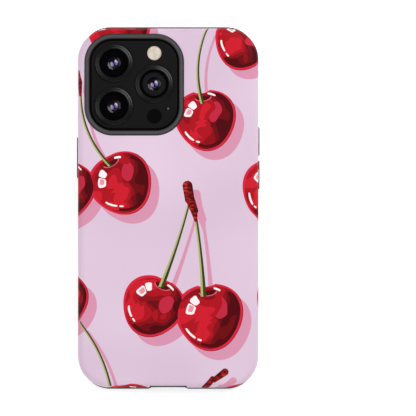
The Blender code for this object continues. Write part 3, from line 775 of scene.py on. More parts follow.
# In millimetres: how far out a lens sees, where its pupil ends, where the flash's border
# starts, half the screen's lit part, the front camera's eye in it, and half the row of the
# port's contacts.
LENS_VIEW = 5.0
PUPIL_END = (1.6, 1.75)
FLASH_BORDER = 2.62
LIT_HALF = (32.6, 70.6)
EYE_HEIGHT = 64.0
EYE_RADIUS = 2.3
EYE_GLINT = (0.7, 1.2)
CONTACTS_HALF = 2.9


def bare_plastic(scene):
    """The unprinted plastic of the shell's inside and its cut edges."""
    shade = Shade("bare_plastic", roughness=0.4)
    place = shade.place()
    cloud = shade.noise(place, 0.4, 2.0)
    shade.bump(shade.noise(place, 4.0, 2.0), 0.004, 0.3)
    return shade.finish(shade.mix(scene.case_shell.bare, srgb(236, 235, 234), cloud))


def soft_plastic(name, tone, crest):
    """Fine matt moulded rubber with a pebbled surface, and a painted highlight: paler above a
    height, standing in for light from above.
    """
    shade = Shade(name).set("Specular IOR Level", SATIN_GLINT)
    place = shade.place()
    cloud = shade.noise(place, 0.12, 4.0)
    base = shade.mix(tone, tinted(tone, 1.35), cloud.ramp(0.4, 0.75))
    height = shade.split(place)[Z]
    # Painted highlight: the colour turns paler within half a millimetre below the crest,
    # standing in for light falling on the camera rim's top.
    painted_top_light = height.ramp(crest / MM - 0.5, crest / MM - 0.05)
    shade.bump(shade.noise(place, 7.0, 2.0), 0.012, 0.5)
    rough = cloud.ramp(0.2, 0.8) * 0.1 + 0.5
    return shade.finish(shade.mix(base, tinted(tone, 2.8), painted_top_light), rough)


def coated_metal(name, tone, roughness=0.32, metallic=1.0):
    """Bead-blasted metal under a dark coating."""
    shade = Shade(name, metallic=metallic)
    place = shade.place()
    cloud = shade.noise(place, 0.5, 4.0)
    shade.bump(shade.noise(place, 14.0, 2.0), 0.003, 0.5)
    mottled = shade.mix(tone, tinted(tone, 0.8), cloud)
    return shade.finish(mottled, cloud * 0.1 + (roughness - 0.05))


def satin_glass(name, tone, roughness):
    """Dark glass with an etched satin face."""
    shade = Shade(name).set("Specular IOR Level", SATIN_GLINT)
    speck = shade.noise(shade.place(), 9.0, 3.0)
    mottled = shade.mix(tone, tinted(tone, 1.25), speck)
    return shade.finish(mottled, speck * 0.06 + (roughness - 0.03))


def brushed_steel(name, tone):
    """Bare steel, brushed across the phone."""
    shade = Shade(name, metallic=1.0)
    stretched = shade.vector("MULTIPLY", shade.place(), (0.4, 9.0, 9.0))
    grain = shade.noise(stretched, 1.0, 3.0)
    return shade.finish(shade.mix(tone, tinted(tone, 0.7), grain), grain * 0.16 + 0.26)


def moulded_plastic(name, tone, roughness=0.5, gloss=0.5):
    """Plain plastic with the fine grain of its mould."""
    shade = Shade(name).set("Specular IOR Level", gloss)
    grain = shade.noise(shade.place(), 3.0, 3.0)
    shade.bump(grain, 0.006, 0.4)
    mottled = shade.mix(tone, tinted(tone, 1.3), grain)
    return shade.finish(mottled, grain * 0.1 + (roughness - 0.05))


def circuit_board():
    """Green lacquered board with copper tracks under the lacquer and small parts."""
    shade = Shade("circuit_board", coat_weight=0.4)
    cells = shade.node("ShaderNodeTexVoronoi", {"distance": "MANHATTAN"},
                       {"Vector": shade.place(), "Scale": 0.6})
    track, chip = cells.between(0.30, 0.36), cells < 0.12
    tone = shade.mix(srgb(18, 66, 44), srgb(150, 128, 60), track)
    return shade.finish(shade.mix(tone, srgb(24, 24, 26), chip), track * -0.1 + 0.45)


def wound_copper():
    """Fine copper wire wound in a flat spiral about the origin, with painted shade in the
    grooves between its turns and painted highlights on their crests.
    """
    shade = Shade("wound_copper", metallic=1.0)
    x, y, _ = shade.split(shade.place())
    turns = (away_from_axis(x, y) * 18.0).math("SINE")
    shade.bump(turns, 0.05, 0.6)
    # Painted shade and highlight: the colour follows the bump's ripple, dark in each groove and
    # light on each crest.
    tone = shade.mix(srgb(120, 62, 30), srgb(214, 140, 92), turns.ramp(-1, 1))
    return shade.finish(tone, turns * 0.06 + 0.34)


def pouch_foil():
    """The wrinkled dark foil of a battery pouch."""
    shade = Shade("pouch_foil", metallic=0.6)
    stretched = shade.vector("MULTIPLY", shade.place(), (0.3, 0.9, 1.0))
    folds = shade.noise(stretched, 0.7, 4.0)
    shade.bump(folds, 0.08, 0.6)
    return shade.finish(shade.mix(srgb(46, 46, 48), srgb(82, 82, 86), folds), folds * 0.2 + 0.3)


def phosphor_finish():
    """The yellow phosphor of the flash's light."""
    shade = Shade("led_phosphor", roughness=0.5)
    grain = shade.noise(shade.place(), 6.0, 2.0)
    return shade.finish(shade.mix(srgb(232, 200, 70), srgb(246, 222, 120), grain))


def clear_lens(name, centre):
    """Cover glass: nearly clear, inside a black border printed round the lens's view."""
    shade = Shade(name, roughness=0.03).set("Specular IOR Level", SATIN_GLINT)
    place = shade.place(centre)
    x, y, _ = shade.split(place)
    border = away_from_axis(x, y) > LENS_VIEW
    haze = shade.noise(place, 0.8, 2.0)
    clear = shade.mix(srgb(12, 12, 16), srgb(20, 18, 28), haze)
    shade.set("Alpha", haze * 0.05 + 0.12 | border)
    return shade.finish(shade.mix(clear, srgb(2, 2, 3), border))


def lens_with_painted_reflections(name, centre, tone):
    """A front element with painted reflections: violet and blue patches painted on the two
    flanks of its pupil, where its coating would throw back the lamps.
    """
    shade = Shade(name, coat_roughness=0.03)
    x, y, _ = shade.split(shade.place(centre))
    # Painted reflections: two lobes on the pupil's flanks in the coating's colour, a painted
    # lilac highlight on the upper one, and painted pink and pale blue on the lower one. The
    # funnel round them is metal and reflects for real.
    upper_reflection = ellipse(x, y, (0.86, 0.4), (0.8, 1.3), 10).ramp(0.0, 0.4)
    lower_reflection = ellipse(x, y, (-0.9, -0.4), (0.72, 1.1), 10).ramp(0.0, 0.4)
    glass_with_reflections = shade.mix(srgb(12, 16, 30), tone, upper_reflection | lower_reflection)
    glass_with_reflections = shade.mix(glass_with_reflections, srgb(236, 214, 255), upper_reflection * y.ramp(0.3, 1.4))
    glass_with_reflections = shade.mix(glass_with_reflections, srgb(240, 176, 250), lower_reflection * x.ramp(-0.6, -1.1))
    glass_with_reflections = shade.mix(glass_with_reflections, srgb(196, 220, 255), lower_reflection * x.ramp(-0.8, -0.4) * 0.7)
    funnel = away_from_axis(x, y).ramp(*PUPIL_END)
    shade.set("Metallic", funnel).set("Coat Weight", 1.0 - funnel)
    return shade.finish(shade.mix(glass_with_reflections, srgb(58, 58, 57), funnel), funnel * 0.1 + 0.08)


def flash_finish(tone, centre):
    """A warm diffuser over a pair of chips, moulded with fine rings."""
    shade = Shade("flash_lens", coat_weight=0.3, coat_roughness=0.15, roughness=0.35)
    place = shade.place(centre)
    x, y, _ = shade.split(place)
    out = away_from_axis(x, y)
    bands = (x * 2.6 + shade.noise(place, 0.7, 1.0) * 3.0).math("SINE")
    warm = shade.mix(tone, srgb(206, 186, 172), bands.ramp(-1.0, 1.0) * 0.55)
    warm = shade.mix(warm, srgb(196, 180, 156), (out > FLASH_BORDER) * 0.7)
    shade.bump((out * 26.0).math("SINE"), 0.03, 0.4)
    return shade.finish(warm)


def screen_finish():
    """A screen that is off: a black panel edged by a slightly blacker border."""
    shade = Shade("screen_glass", roughness=0.05, coat_weight=0.5, coat_roughness=0.02)
    place = shade.place()
    x, y, _ = shade.split(place)
    lit = (abs(x) < LIT_HALF[X]) & (abs(y) < LIT_HALF[Y])
    eye = away_from_axis(x, y - EYE_HEIGHT)
    tone = shade.mix(srgb(6, 6, 7), srgb(13, 13, 16), lit)
    tone = shade.mix(tone, srgb(4, 4, 5), eye < EYE_RADIUS)
    tone = shade.mix(tone, srgb(26, 24, 44), eye.between(*EYE_GLINT))
    return shade.finish(tone, shade.noise(place, 0.05, 3.0) * 0.03 + 0.04)


def contact_finish():
    """The port's tongue: black plastic with a row of gold contacts."""
    shade = Shade("port_tongue", roughness=0.4)
    x, y, _ = shade.split(shade.place())
    row = (abs((x * 2.0 + 20.25).math("FRACT") - 0.5) < 0.27) & (abs(x) < CONTACTS_HALF)
    shade.set("Metallic", row)
    return shade.finish(shade.mix(srgb(26, 26, 27), srgb(222, 178, 92), row))


def mesh_finish():
    """Fine woven metal over a sound opening."""
    shade = Shade("woven_mesh", metallic=1.0, roughness=0.4)
    x, y, _ = shade.split(shade.place())
    weave = ((x * 14.0).math("SINE") * (y * 14.0).math("SINE")).ramp(-0.4, 0.6)
    shade.bump(weave, 0.03, 0.8)
    return shade.finish(shade.mix(srgb(20, 20, 20), srgb(120, 120, 122), weave))


# ---------------------------------------------------------------- shared shapes

SHELL_LOW, SHELL_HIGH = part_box("outer_shell")
LINER_LOW, LINER_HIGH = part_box("inner_liner")
BAND_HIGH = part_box("phone_band")[1]
ISLAND_LOW, ISLAND_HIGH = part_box("camera_island")

# Gaps: round the shell, round the phone, under a lens ring and round a button cover.
SEAM = 0.15 * MM
FIT = 0.1 * MM
GLUE = 0.01 * MM
KEY_GAP = 0.3 * MM

# How far from the middle the slots for the covers start.
SHELL_SLOT_START = 36 * MM
LINER_SLOT_START = 34 * MM

# Where cutters end: past the sides, past both ends, above, below, inside the back wall and
# inside the bottom wall.
BESIDE = 40 * MM
PAST_ENDS = 80 * MM
FAR = 90 * MM
ABOVE = 20 * MM
BELOW = -1 * MM
UNDER_BACK = 7 * MM
INSIDE_END = -71 * MM

# The shell's front edge, which sweeps up round both ends so that the liner's bumpers show.
EDGE_LOW = SHELL_LOW.z
EDGE_HIGH = 6.9 * MM
SWEEP_START = 71.3 * MM
SWEEP_END = 75.0 * MM
SWEEP_ROUND = 2.2 * MM
WEDGE_FLOOR = -5 * MM
END_REVEAL = Vector((0, 0.12, 0)) * MM

# The ring switch's window in the shell, and how much smaller the liner's is.
WINDOW_LOW = Vector((35.5, 36.5, 2.5)) * MM
WINDOW_HIGH = Vector((40.0, 46.5, 7.7)) * MM
WINDOW_CORNER = 1.2 * MM
WINDOW_TRIM = Vector((0, 0.3, 0.3)) * MM
LINER_WINDOW_DEPTH = Vector((1.0, 0, 0)) * MM
LINER_WINDOW_CORNER = 1.0 * MM

# The dip round the charging port, in the liner's bumper and as a notch in the shell.
DIP_HALF_WIDTH = 6.9 * MM
DIP_SLOPE = 1.3 * MM
DIP_FLOOR = LINER_LOW.y + 0.65 * MM
NOTCH_TOP = 9.5 * MM
NOTCH_FLOOR = -73.6 * MM

# The liner: its tray under the shell, its end bumpers, its boss round the port, the cavity
# that holds the phone, and the window for the screen, whose edge the lip laps over.
TRAY_HALF = Vector((36.75, 74.35)) * MM
TRAY_LOW = 0.55 * MM
TRAY_TOP = 9.65 * MM
TRAY_CORNER = 12.2 * MM
TRAY_ROUND = 2.0 * MM
BUMPER_TOP = 8 * MM
BUMPER_CORNER = 13.2 * MM
BOSS_LOW = 2 * MM
BOSS_TOP = 10.05 * MM
BOSS_CORNER = 13.3 * MM
BOSS_ROUND = 2.6 * MM
CAVITY_LOW = 1.0 * MM
CAVITY_ROUND = 1.0 * MM
SCREEN_LAP = Vector((0.2, 0.2, 0)) * MM
SCREEN_CORNER = 10.7 * MM
SCREEN_CUT_TOP = 3 * MM

# The camera rim, which is centred on the island.
RIM_HALF = Vector((20.7, 21.15, 0)) * MM
RIM_FOOT = 9.2 * MM
RIM_LAP = 0.04 * MM
CAMERA_CUT_TOP = 9.7 * MM

# The openings in the bottom wall, in millimetres: how far across each one's middle is, how
# far above the port's middle, and half its width and height.
PORT_HEIGHT = 5.0 * MM
END_OPENINGS = ((0.0, 0.0, 6.3, 3.1), (-18.6, -0.4, 7.5, 1.6), (18.6, -0.4, 7.5, 1.6))


def end_wedge(name, side, drop):
    """What lies below the shell's swept front edge at one end, lowered by a drop."""
    slope = (SWEEP_END - SWEEP_START) / (EDGE_HIGH - EDGE_LOW)
    foot = SWEEP_START - slope * (EDGE_LOW - WEDGE_FLOOR)
    piece = block(name, (-FAR, foot, WEDGE_FLOOR), (FAR, FAR, EDGE_HIGH))
    with editing(piece):
        pick(piece, "edges", both(at(Y, foot), at(Z, EDGE_HIGH)))
        bpy.ops.transform.translate(value=(0, SWEEP_END - foot, 0))
    bevel(piece, both(at(Y, SWEEP_END), at(Z, EDGE_HIGH)), SWEEP_ROUND, 8)
    with editing(piece):
        bpy.ops.mesh.select_all(action="SELECT")
        bpy.ops.transform.translate(value=(0, 0, -drop))
        if side < 0:
            bpy.ops.transform.resize(value=(1, -1, 1), center_override=(0, 0, 0))
            bpy.ops.mesh.normals_make_consistent(inside=False)
    return piece


def tapered_dip(name, half_width, floor, top):
    """A block into the bottom edge whose sides lean outwards."""
    piece = block(name, (-half_width, -PAST_ENDS, BELOW), (half_width, floor, top))
    depth = floor - LINER_LOW.y
    lean = DIP_SLOPE / depth * (floor + PAST_ENDS)
    widen = (half_width + lean) / half_width
    with editing(piece):
        pick(piece, "faces", at(Y, -PAST_ENDS))
        bpy.ops.transform.resize(value=(widen, 1, 1), center_override=(0, 0, 0))
    return piece


def side_slot(name, node, inner):
    """A pill-shaped cutter round a button cover, through one side wall."""
    low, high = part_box(node)
    side = 1 if low.x > 0 else -1
    ends = sorted((side * inner, side * BESIDE))
    return pill(name, (ends[0], low.y - KEY_GAP, low.z - KEY_GAP),
                (ends[1], high.y + KEY_GAP, high.z + KEY_GAP), segments=12)


def rim_block(name, settings, margin, low, high):
    """A block over the camera rim's outline, wider all round by a margin."""
    island = (ISLAND_LOW + ISLAND_HIGH) / 2
    half = RIM_HALF + Vector((margin, margin, 0))
    start, end = island - half, island + half
    return block(name, (start.x, start.y, low), (end.x, end.y, high),
                 settings.rim_corner + margin)


def make_shell(scene):
    """The hard outer shell, cut open for the cameras, the port, the switch and the covers."""
    settings = scene.case_shell
    printed, bare = printed_finish(scene), bare_plastic(scene)
    low, high = SHELL_LOW + END_REVEAL, SHELL_HIGH - END_REVEAL
    shell = block("printed_shell", low, high, settings.corner, ends=[(high.z, settings.edge)],
                  segments=32, end_segments=12)
    paint(shell, printed)
    wall, ceiling = settings.wall, high.z - settings.back_wall
    cutters = [
        slab("inside", (high.x - wall, high.y - wall), BELOW, ceiling, settings.corner - wall,
             ends=[(ceiling, settings.inner_edge)], segments=32),
        rim_block("camera_hole", scene.case_liner, SEAM, UNDER_BACK, ABOVE),
        block("switch_hole", WINDOW_LOW, WINDOW_HIGH, WINDOW_CORNER, axis=X, segments=8),
        tapered_dip("port_notch", DIP_HALF_WIDTH + SEAM, NOTCH_FLOOR, NOTCH_TOP + SEAM),
        end_wedge("top_wedge", 1, 0.0),
        end_wedge("bottom_wedge", -1, 0.0),
        *(side_slot(f"{key}_slot", f"{key}_cover", SHELL_SLOT_START) for key in KEYS),
    ]
    for cutter in cutters:
        paint(cutter, bare)
    carve(shell, "DIFFERENCE", *cutters)
    settle(shell, ROOT, "outer_shell")


def make_liner(scene):
    """The soft liner: a tray with end bumpers, a port boss and the camera rim joined on."""
    settings = scene.case_liner
    # soft_plastic paints a highlight on the camera rim's crest.
    soft = soft_plastic("soft_liner", settings.tone, LINER_HIGH.z)
    tray = slab("soft_liner", TRAY_HALF, TRAY_LOW, TRAY_TOP, TRAY_CORNER,
                ends=[(TRAY_TOP, TRAY_ROUND)])
    bumper = slab("bumper", LINER_HIGH, LINER_LOW.z, BUMPER_TOP, BUMPER_CORNER,
                  ends=[(LINER_LOW.z, settings.lip_round)], segments=32)
    zone = slab("shell_zone", (FAR, FAR), EDGE_LOW - SEAM, ABOVE)
    carve(zone, "DIFFERENCE", end_wedge("top_wedge", 1, SEAM),
          end_wedge("bottom_wedge", -1, SEAM))
    dip = tapered_dip("bumper_dip", DIP_HALF_WIDTH, DIP_FLOOR, ABOVE)
    carve(bumper, "DIFFERENCE", zone, dip)
    boss = slab("port_boss", (SHELL_HIGH.x, -DIP_FLOOR), BOSS_LOW, BOSS_TOP, BOSS_CORNER,
                ends=[(BOSS_TOP, BOSS_ROUND)])
    limit = block("boss_limit", (-DIP_HALF_WIDTH, -PAST_ENDS, 0.0),
                  (DIP_HALF_WIDTH, NOTCH_FLOOR - SEAM, NOTCH_TOP))
    carve(boss, "INTERSECT", limit)
    carve(tray, "UNION", bumper, boss, camera_rim(settings))

    ceiling = BAND_HIGH.z + FIT
    cutters = [
        slab("cavity", (BAND_HIGH.x + FIT, BAND_HIGH.y + FIT), CAVITY_LOW, ceiling,
             TRAY_CORNER, ends=[(ceiling, CAVITY_ROUND)]),
        slab("screen_window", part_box("display_glass")[1] - SCREEN_LAP, BELOW,
             SCREEN_CUT_TOP, SCREEN_CORNER),
        rim_block("camera_opening", settings, RIM_LAP - settings.rim_wall, UNDER_BACK,
                  CAMERA_CUT_TOP),
        block("switch_opening", WINDOW_LOW + WINDOW_TRIM - LINER_WINDOW_DEPTH,
              WINDOW_HIGH - WINDOW_TRIM, LINER_WINDOW_CORNER, axis=X, segments=8),
    ]
    for across, above, half_width, half_height in END_OPENINGS:
        x, z = across * MM, above * MM + PORT_HEIGHT
        wide, high = half_width * MM, half_height * MM
        cutters.append(pill("end_opening", (x - wide, -PAST_ENDS, z - high),
                            (x + wide, INSIDE_END, z + high), Y))
    cutters += [side_slot(f"{key}_window", f"{key}_cover", LINER_SLOT_START) for key in KEYS]
    carve(tray, "DIFFERENCE", *cutters)
    settle(paint(tray, soft), ROOT, "inner_liner")


def borders_top(edge):
    """Whether a face on just one side of an edge looks up."""
    return len({face.normal.z > 0.9 for face in edge.link_faces}) == 2


def camera_rim(settings):
    """The raised ring of liner round the cameras, with both its top edges rounded."""
    rim = rim_block("camera_rim", settings, 0.0, RIM_FOOT, LINER_HIGH.z)
    with editing(rim):
        pick(rim, "faces", lambda face: abs(face.normal.z) > 0.9)
        bpy.ops.mesh.inset(thickness=settings.rim_wall)
        bpy.ops.mesh.bridge_edge_loops()
    bevel(rim, both(at(Z, LINER_HIGH.z), borders_top), settings.rim_round, 6)
    return rim


# The rounds on the outer faces of the covers, the keys and the ring switch, and the groove
# in the switch.
COVER_EDGE = 0.3 * MM
KEY_EDGE = 0.25 * MM
LEVER_EDGE = 0.18 * MM
GROOVE_HALF_LENGTH = 1.9 * MM
GROOVE_DEPTH = 0.12 * MM


def make_covers(scene):
    """The three button covers, one to each key of the phone."""
    soft = soft_plastic("cover_rubber", scene.case_liner.cover_tone, LINER_HIGH.z)
    for key in KEYS:
        cover = key_shape(f"{key}_button_cover", f"{key}_cover", COVER_EDGE, segments=16,
                          end_segments=6)
        settle(paint(cover, soft), f"{key}_button", f"{key}_cover")


def make_keys(scene):
    """The phone's own keys behind the covers, and the ring switch with its groove."""
    metal = coated_metal("key_metal", scene.case_phone.metal)
    for key in KEYS:
        piece = key_shape(f"{key}_metal_key", f"{key}_key", KEY_EDGE, segments=12,
                          end_segments=4)
        settle(paint(piece, metal), f"{key}_button", f"{key}_key")
    lever = key_shape("ring_switch_lever", "ring_switch", LEVER_EDGE, segments=12,
                      end_segments=4)
    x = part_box("ring_switch")[1].x
    _, y, z = middle("ring_switch")
    groove = block("groove", (x - GROOVE_DEPTH, y - GROOVE_HALF_LENGTH, z - GROOVE_DEPTH),
                   (BESIDE, y + GROOVE_HALF_LENGTH, z + GROOVE_DEPTH))
    carve(lever, "DIFFERENCE", groove)
    paint(lever, coated_metal("lever_metal", srgb(96, 95, 92), 0.3))
    settle(lever, "ring_switch", "ring_switch")


ISLAND_CORNER = 9.0 * MM
ISLAND_EDGE = 0.45 * MM
LENS_HOLE = 6.6 * MM
MICROPHONE_HOLE = 0.5 * MM


def make_island(scene):
    """The satin glass of the camera island, with a hole for each thing that looks out."""
    island = block("camera_island_glass", ISLAND_LOW, ISLAND_HIGH, ISLAND_CORNER,
                   ends=[(ISLAND_HIGH.z, ISLAND_EDGE)], end_segments=5)
    for lens in LENSES:
        drill(island, LENS_HOLE, middle(f"{lens}_lens_ring"))
    for node in ("flash_diffuser", "depth_sensor_window"):
        drill(island, round_size(node)[0] + FIT, middle(node))
    drill(island, MICROPHONE_HOLE, middle("rear_microphone"), 32)
    paint(island, satin_glass("island_glass", scene.case_phone.glass, 0.42))
    settle(island, ROOT, "camera_island")


# Outlines of turned pieces, in millimetres: how far in from the edge each point is, and how
# far below the top.
RING_OUTLINE = (
    (0.0, 0.50), (0.08, 0.32), (0.28, 0.22), (0.86, 0.22), (0.94, 0.10), (1.22, 0.0),
    (1.68, 0.0), (1.80, 0.12), (1.80, 0.60), (2.52, 0.60),
)
RING_SLEEVE = 1.30 * MM
RING_SHELF = 2.52 * MM
GLASS_CHAMFER = 0.1 * MM
BARREL_STEPS = (
    (0.0, 0.0), (0.25, 0.0), (0.45, 0.25), (0.95, 0.25), (1.10, 0.50), (1.55, 0.50),
    (1.70, 0.70),
)
TELE_STEPS = ((0.0, 0.0), (0.3, 0.0))
BARREL_LIP = 0.72 * MM
TELE_LIP = 0.02 * MM
WELL_MOUTH = 3.05 * MM
WELL_RADIUS = 3.0 * MM
WELL_DEPTH = 1.6 * MM
FUNNEL = ((0.0, 0.0), (0.85, 0.21), (1.1, 0.55))
PUPIL_RADIUS = 1.75 * MM
PUPIL_DROP = 0.30 * MM
PUPIL_BULGE = 0.5 * MM
PUPIL_ANGLES = (70, 55, 40, 25, 10)


def outline(points, radius, top):
    """Points of an outline for a piece's radius and top, in metres."""
    return [(radius - inward * MM, top - down * MM) for inward, down in points]


def make_lenses(scene):
    """Each camera's ring, cover glass, barrel and front element."""
    sides = scene.case_phone.ring_turns
    metal = coated_metal("ring_metal", srgb(20, 20, 20), 0.28, 0.4)
    dark = moulded_plastic("barrel_plastic", srgb(3, 3, 3), 0.8, 0.0)
    grey = moulded_plastic("baffle_plastic", srgb(38, 38, 39), 0.8, 0.0)
    seat = ISLAND_HIGH.z + GLUE
    for lens in LENSES:
        centre = middle(f"{lens}_lens_ring")[:2]
        radius, foot, top = round_size(f"{lens}_lens_ring")
        profile = [
            (radius, seat), *outline(RING_OUTLINE, radius, top), (radius - RING_SHELF, foot),
            (radius - RING_SLEEVE, foot), (radius - RING_SLEEVE, seat),
        ]
        ring = turned(f"{lens}_trim_ring", profile, centre, sides)
        settle(paint(ring, metal), ROOT, f"{lens}_lens_ring")

        glass = disc(f"{lens}_cover_glass", f"{lens}_lens_glass", GLASS_CHAMFER, sides)
        paint(glass, clear_lens(f"{lens}_cover", centre))
        settle(glass, ROOT, f"{lens}_lens_glass")

        barrel = make_barrel(lens, centre, sides)
        paint(barrel, grey if lens == "tele" else dark)
        settle(barrel, ROOT, f"{lens}_lens_barrel")

        element = make_element(lens, centre, sides)
        # The element's material carries reflections painted on its pupil.
        paint(element, lens_with_painted_reflections(f"{lens}_coating", centre, scene.case_phone.coating))
        settle(element, ROOT, f"{lens}_lens_element")


def make_barrel(lens, centre, sides):
    """The dark well behind a cover glass, stepped down to a glossy funnel."""
    radius, foot, top = round_size(f"{lens}_lens_barrel")
    steps, lip = (TELE_STEPS, TELE_LIP) if lens == "tele" else (BARREL_STEPS, BARREL_LIP)
    profile = [
        (0.0, foot), (radius, foot), *outline(steps, radius, top), (WELL_MOUTH, top - lip),
        (WELL_RADIUS, top - WELL_DEPTH), (0.0, top - WELL_DEPTH),
    ]
    return turned(f"{lens}_barrel", profile, centre, sides)


def make_element(lens, centre, sides):
    """A front element: a domed pupil in the middle of a concave glossy funnel."""
    radius, foot, top = round_size(f"{lens}_lens_element")
    painted_top_light = top - PUPIL_DROP
    dome = [
        (PUPIL_RADIUS * math.sin(angle), painted_top_light - PUPIL_BULGE * (1 - math.cos(angle)))
        for angle in map(math.radians, PUPIL_ANGLES)
    ]
    profile = [(0.0, foot), (radius, foot), *outline(FUNNEL, radius, top), *dome, (0.0, painted_top_light)]
    return turned(f"{lens}_element", profile, centre, sides)


# The flash's moulded rings, and the rounded face of the microphone's grille.
FLASH_CHAMFER = 0.12 * MM
FLASH_RINGS = 9
RING_START = 0.25 * MM
RING_PITCH = 0.3 * MM
CREST_DROP = 0.02 * MM
TROUGH_DROP = 0.06 * MM
MICROPHONE_EDGE = 0.05 * MM
MICROPHONE_FACE = 0.25 * MM


def make_flash_and_sensor(scene):
    """The ringed flash diffuser, the depth sensor's window and the microphone's grille."""
    sides = scene.case_phone.ring_turns
    centre = middle("flash_diffuser")[:2]
    radius, foot, top = round_size("flash_diffuser")
    rings = []
    for number in range(FLASH_RINGS):
        out = radius - RING_START - number * RING_PITCH
        rings += [(out, top - CREST_DROP), (out - RING_PITCH / 2, top - TROUGH_DROP)]
    profile = [
        (0.0, foot), (radius, foot), (radius, top - FLASH_CHAMFER),
        (radius - FLASH_CHAMFER, top), *rings, (0.0, top - TROUGH_DROP + CREST_DROP),
    ]
    flash = turned("flash_lens", profile, centre, sides)
    paint(flash, flash_finish(scene.case_phone.flash, centre))
    settle(flash, ROOT, "flash_diffuser")

    sensor = disc("depth_window", "depth_sensor_window", GLASS_CHAMFER, sides)
    paint(sensor, satin_glass("sensor_glass", srgb(7, 7, 8), 0.2))
    settle(sensor, ROOT, "depth_sensor_window")

    radius, foot, top = round_size("rear_microphone")
    profile = [(0.0, foot), (radius, foot), (radius, top - MICROPHONE_EDGE),
               (MICROPHONE_FACE, top), (0.0, top)]
    grille = turned("microphone_grille", profile, middle("rear_microphone")[:2], 32)
    paint(grille, moulded_plastic("grille_plastic", srgb(112, 112, 112), 0.6))
    settle(grille, ROOT, "rear_microphone")


GLASS_CORNER = 10.9 * MM
GLASS_EDGE = 0.35 * MM
EARPIECE_GAP = 0.2 * MM
EARPIECE_CORNER = 0.59 * MM
EARPIECE_EDGE = 0.08 * MM


def make_screen(scene):
    """The front glass with its softened edge, and the slot over the earpiece."""
    low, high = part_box("display_glass")
    glass = block("screen_glass", low, high, GLASS_CORNER, ends=[(low.z, GLASS_EDGE)],
                  end_segments=5)
    low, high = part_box("earpiece_mesh")
    slot = block("slot", (low.x - EARPIECE_GAP, low.y - EARPIECE_GAP, BELOW),
                 (high.x + EARPIECE_GAP, high.y + EARPIECE_GAP, SCREEN_CUT_TOP),
                 EARPIECE_CORNER, segments=8)
    carve(glass, "DIFFERENCE", slot)
    settle(paint(glass, screen_finish()), ROOT, "display_glass")
    mesh = block("earpiece_grille", low, high, (high.y - low.y) / 2 - TOUCH, segments=10,
                 ends=[(low.z, EARPIECE_EDGE)], end_segments=2)
    settle(paint(mesh, mesh_finish()), ROOT, "earpiece_mesh")


PORT_EDGE = 0.12 * MM
PORT_SIDE_WALL = 0.35 * MM
PORT_WALL = 0.3 * MM
PORT_BACK_WALL = 0.8 * MM
TONGUE_CORNER = 0.12 * MM
TONGUE_EDGE = 0.05 * MM


def make_port(scene):
    """The charging port's steel mouth and the tongue in it."""
    low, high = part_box("charging_port")
    port = pill("charging_port_shell", low, high, Y, segments=16,
                ends=[(low.y, PORT_EDGE)], end_segments=3)
    mouth = pill("mouth", (low.x + PORT_SIDE_WALL, low.y - MM, low.z + PORT_WALL),
                 (high.x - PORT_SIDE_WALL, high.y - PORT_BACK_WALL, high.z - PORT_WALL), Y,
                 segments=16)
    carve(port, "DIFFERENCE", mouth)
    paint(port, brushed_steel("port_steel", srgb(168, 168, 170)))
    settle(port, ROOT, "charging_port")
    low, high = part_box("port_tongue")
    tongue = block("port_contact_tongue", low, high, TONGUE_CORNER, axis=X, segments=4,
                   ends=[(low.x, TONGUE_EDGE), (high.x, TONGUE_EDGE)], end_segments=2)
    settle(paint(tongue, contact_finish()), ROOT, "port_tongue")


def finish_inside(scene):
    """Finishes for the pieces of the frame whose shape is right as it is."""
    metal = coated_metal("band_metal", scene.case_phone.metal, 0.3)
    steel = brushed_steel("plain_steel", srgb(172, 172, 174))
    black = moulded_plastic("module_plastic", srgb(26, 26, 27))
    keep = {
        "phone_band": metal,
        "sim_tray": metal,
        "back_glass": satin_glass("rear_glass", scene.case_phone.glass, 0.3),
        "display_panel": satin_glass("panel_film", srgb(30, 30, 32), 0.5),
        "battery": pouch_foil(),
        "main_board": circuit_board(),
        "charging_coil": wound_copper(),
        "flash_led": phosphor_finish(),
    }
    for node in ("front_camera", "depth_sensor", "bottom_speaker", "sound_vent",
                 "earpiece_speaker", *(f"{lens}_camera_sensor" for lens in LENSES)):
        keep[node] = black
    for node in ("camera_bracket", "mid_plate", "board_shield", "magnet_ring",
                 "haptic_motor", "left_bottom_screw", "right_bottom_screw",
                 *(f"{key}_switch" for key in KEYS)):
        keep[node] = steel
    for node, material in keep.items():
        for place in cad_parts[node].material_slots:
            place.material = material


# ---------------------------------------------------------------- the stage


# In metres, but for the camera's sensor in millimetres and the strengths of light.
FLOOR_SIZE = 6.0
FLOOR_DROP = 0.05 * MM
SKY_GLOW = 0.08
LOW_FILL_SHARE = 0.88
SENSOR_WIDTH = 36.0
FURTHEST_SEEN = 20.0


def add_softbox(name, place, size, power):
    """A rectangular lamp, in metres and watts, that faces the phone."""
    clear_selection()
    bpy.ops.object.light_add(type="AREA", location=place)
    lamp = bpy.context.active_object
    lamp.name = name
    lamp.rotation_euler = (-Vector(place)).to_track_quat("-Z", "Y").to_euler()
    lamp.data.shape = "RECTANGLE"
    lamp.data.size, lamp.data.size_y = size
    lamp.data.energy = power


def make_floor(settings):
    """A glowing light table, which is clear from below."""
    clear_selection()
    bpy.ops.mesh.primitive_plane_add(size=FLOOR_SIZE, location=(0, 0, -FLOOR_DROP))
    floor = bpy.context.active_object
    floor.name = "floor"
    shade = Shade("floor", roughness=0.9, base_color=settings.floor,
                  emission_color=settings.floor, emission_strength=settings.floor_glow)
    back = shade.node("ShaderNodeNewGeometry", output="Backfacing")
    clear = shade.node("ShaderNodeBsdfTransparent")
    glow = Wire(shade, shade.shader.outputs[0])
    surface = shade.node("ShaderNodeMixShader", {}, (back, glow, clear))
    shade.feed(shade.tree.nodes["Material Output"].inputs["Surface"], surface)
    floor.data.materials.append(shade.material)


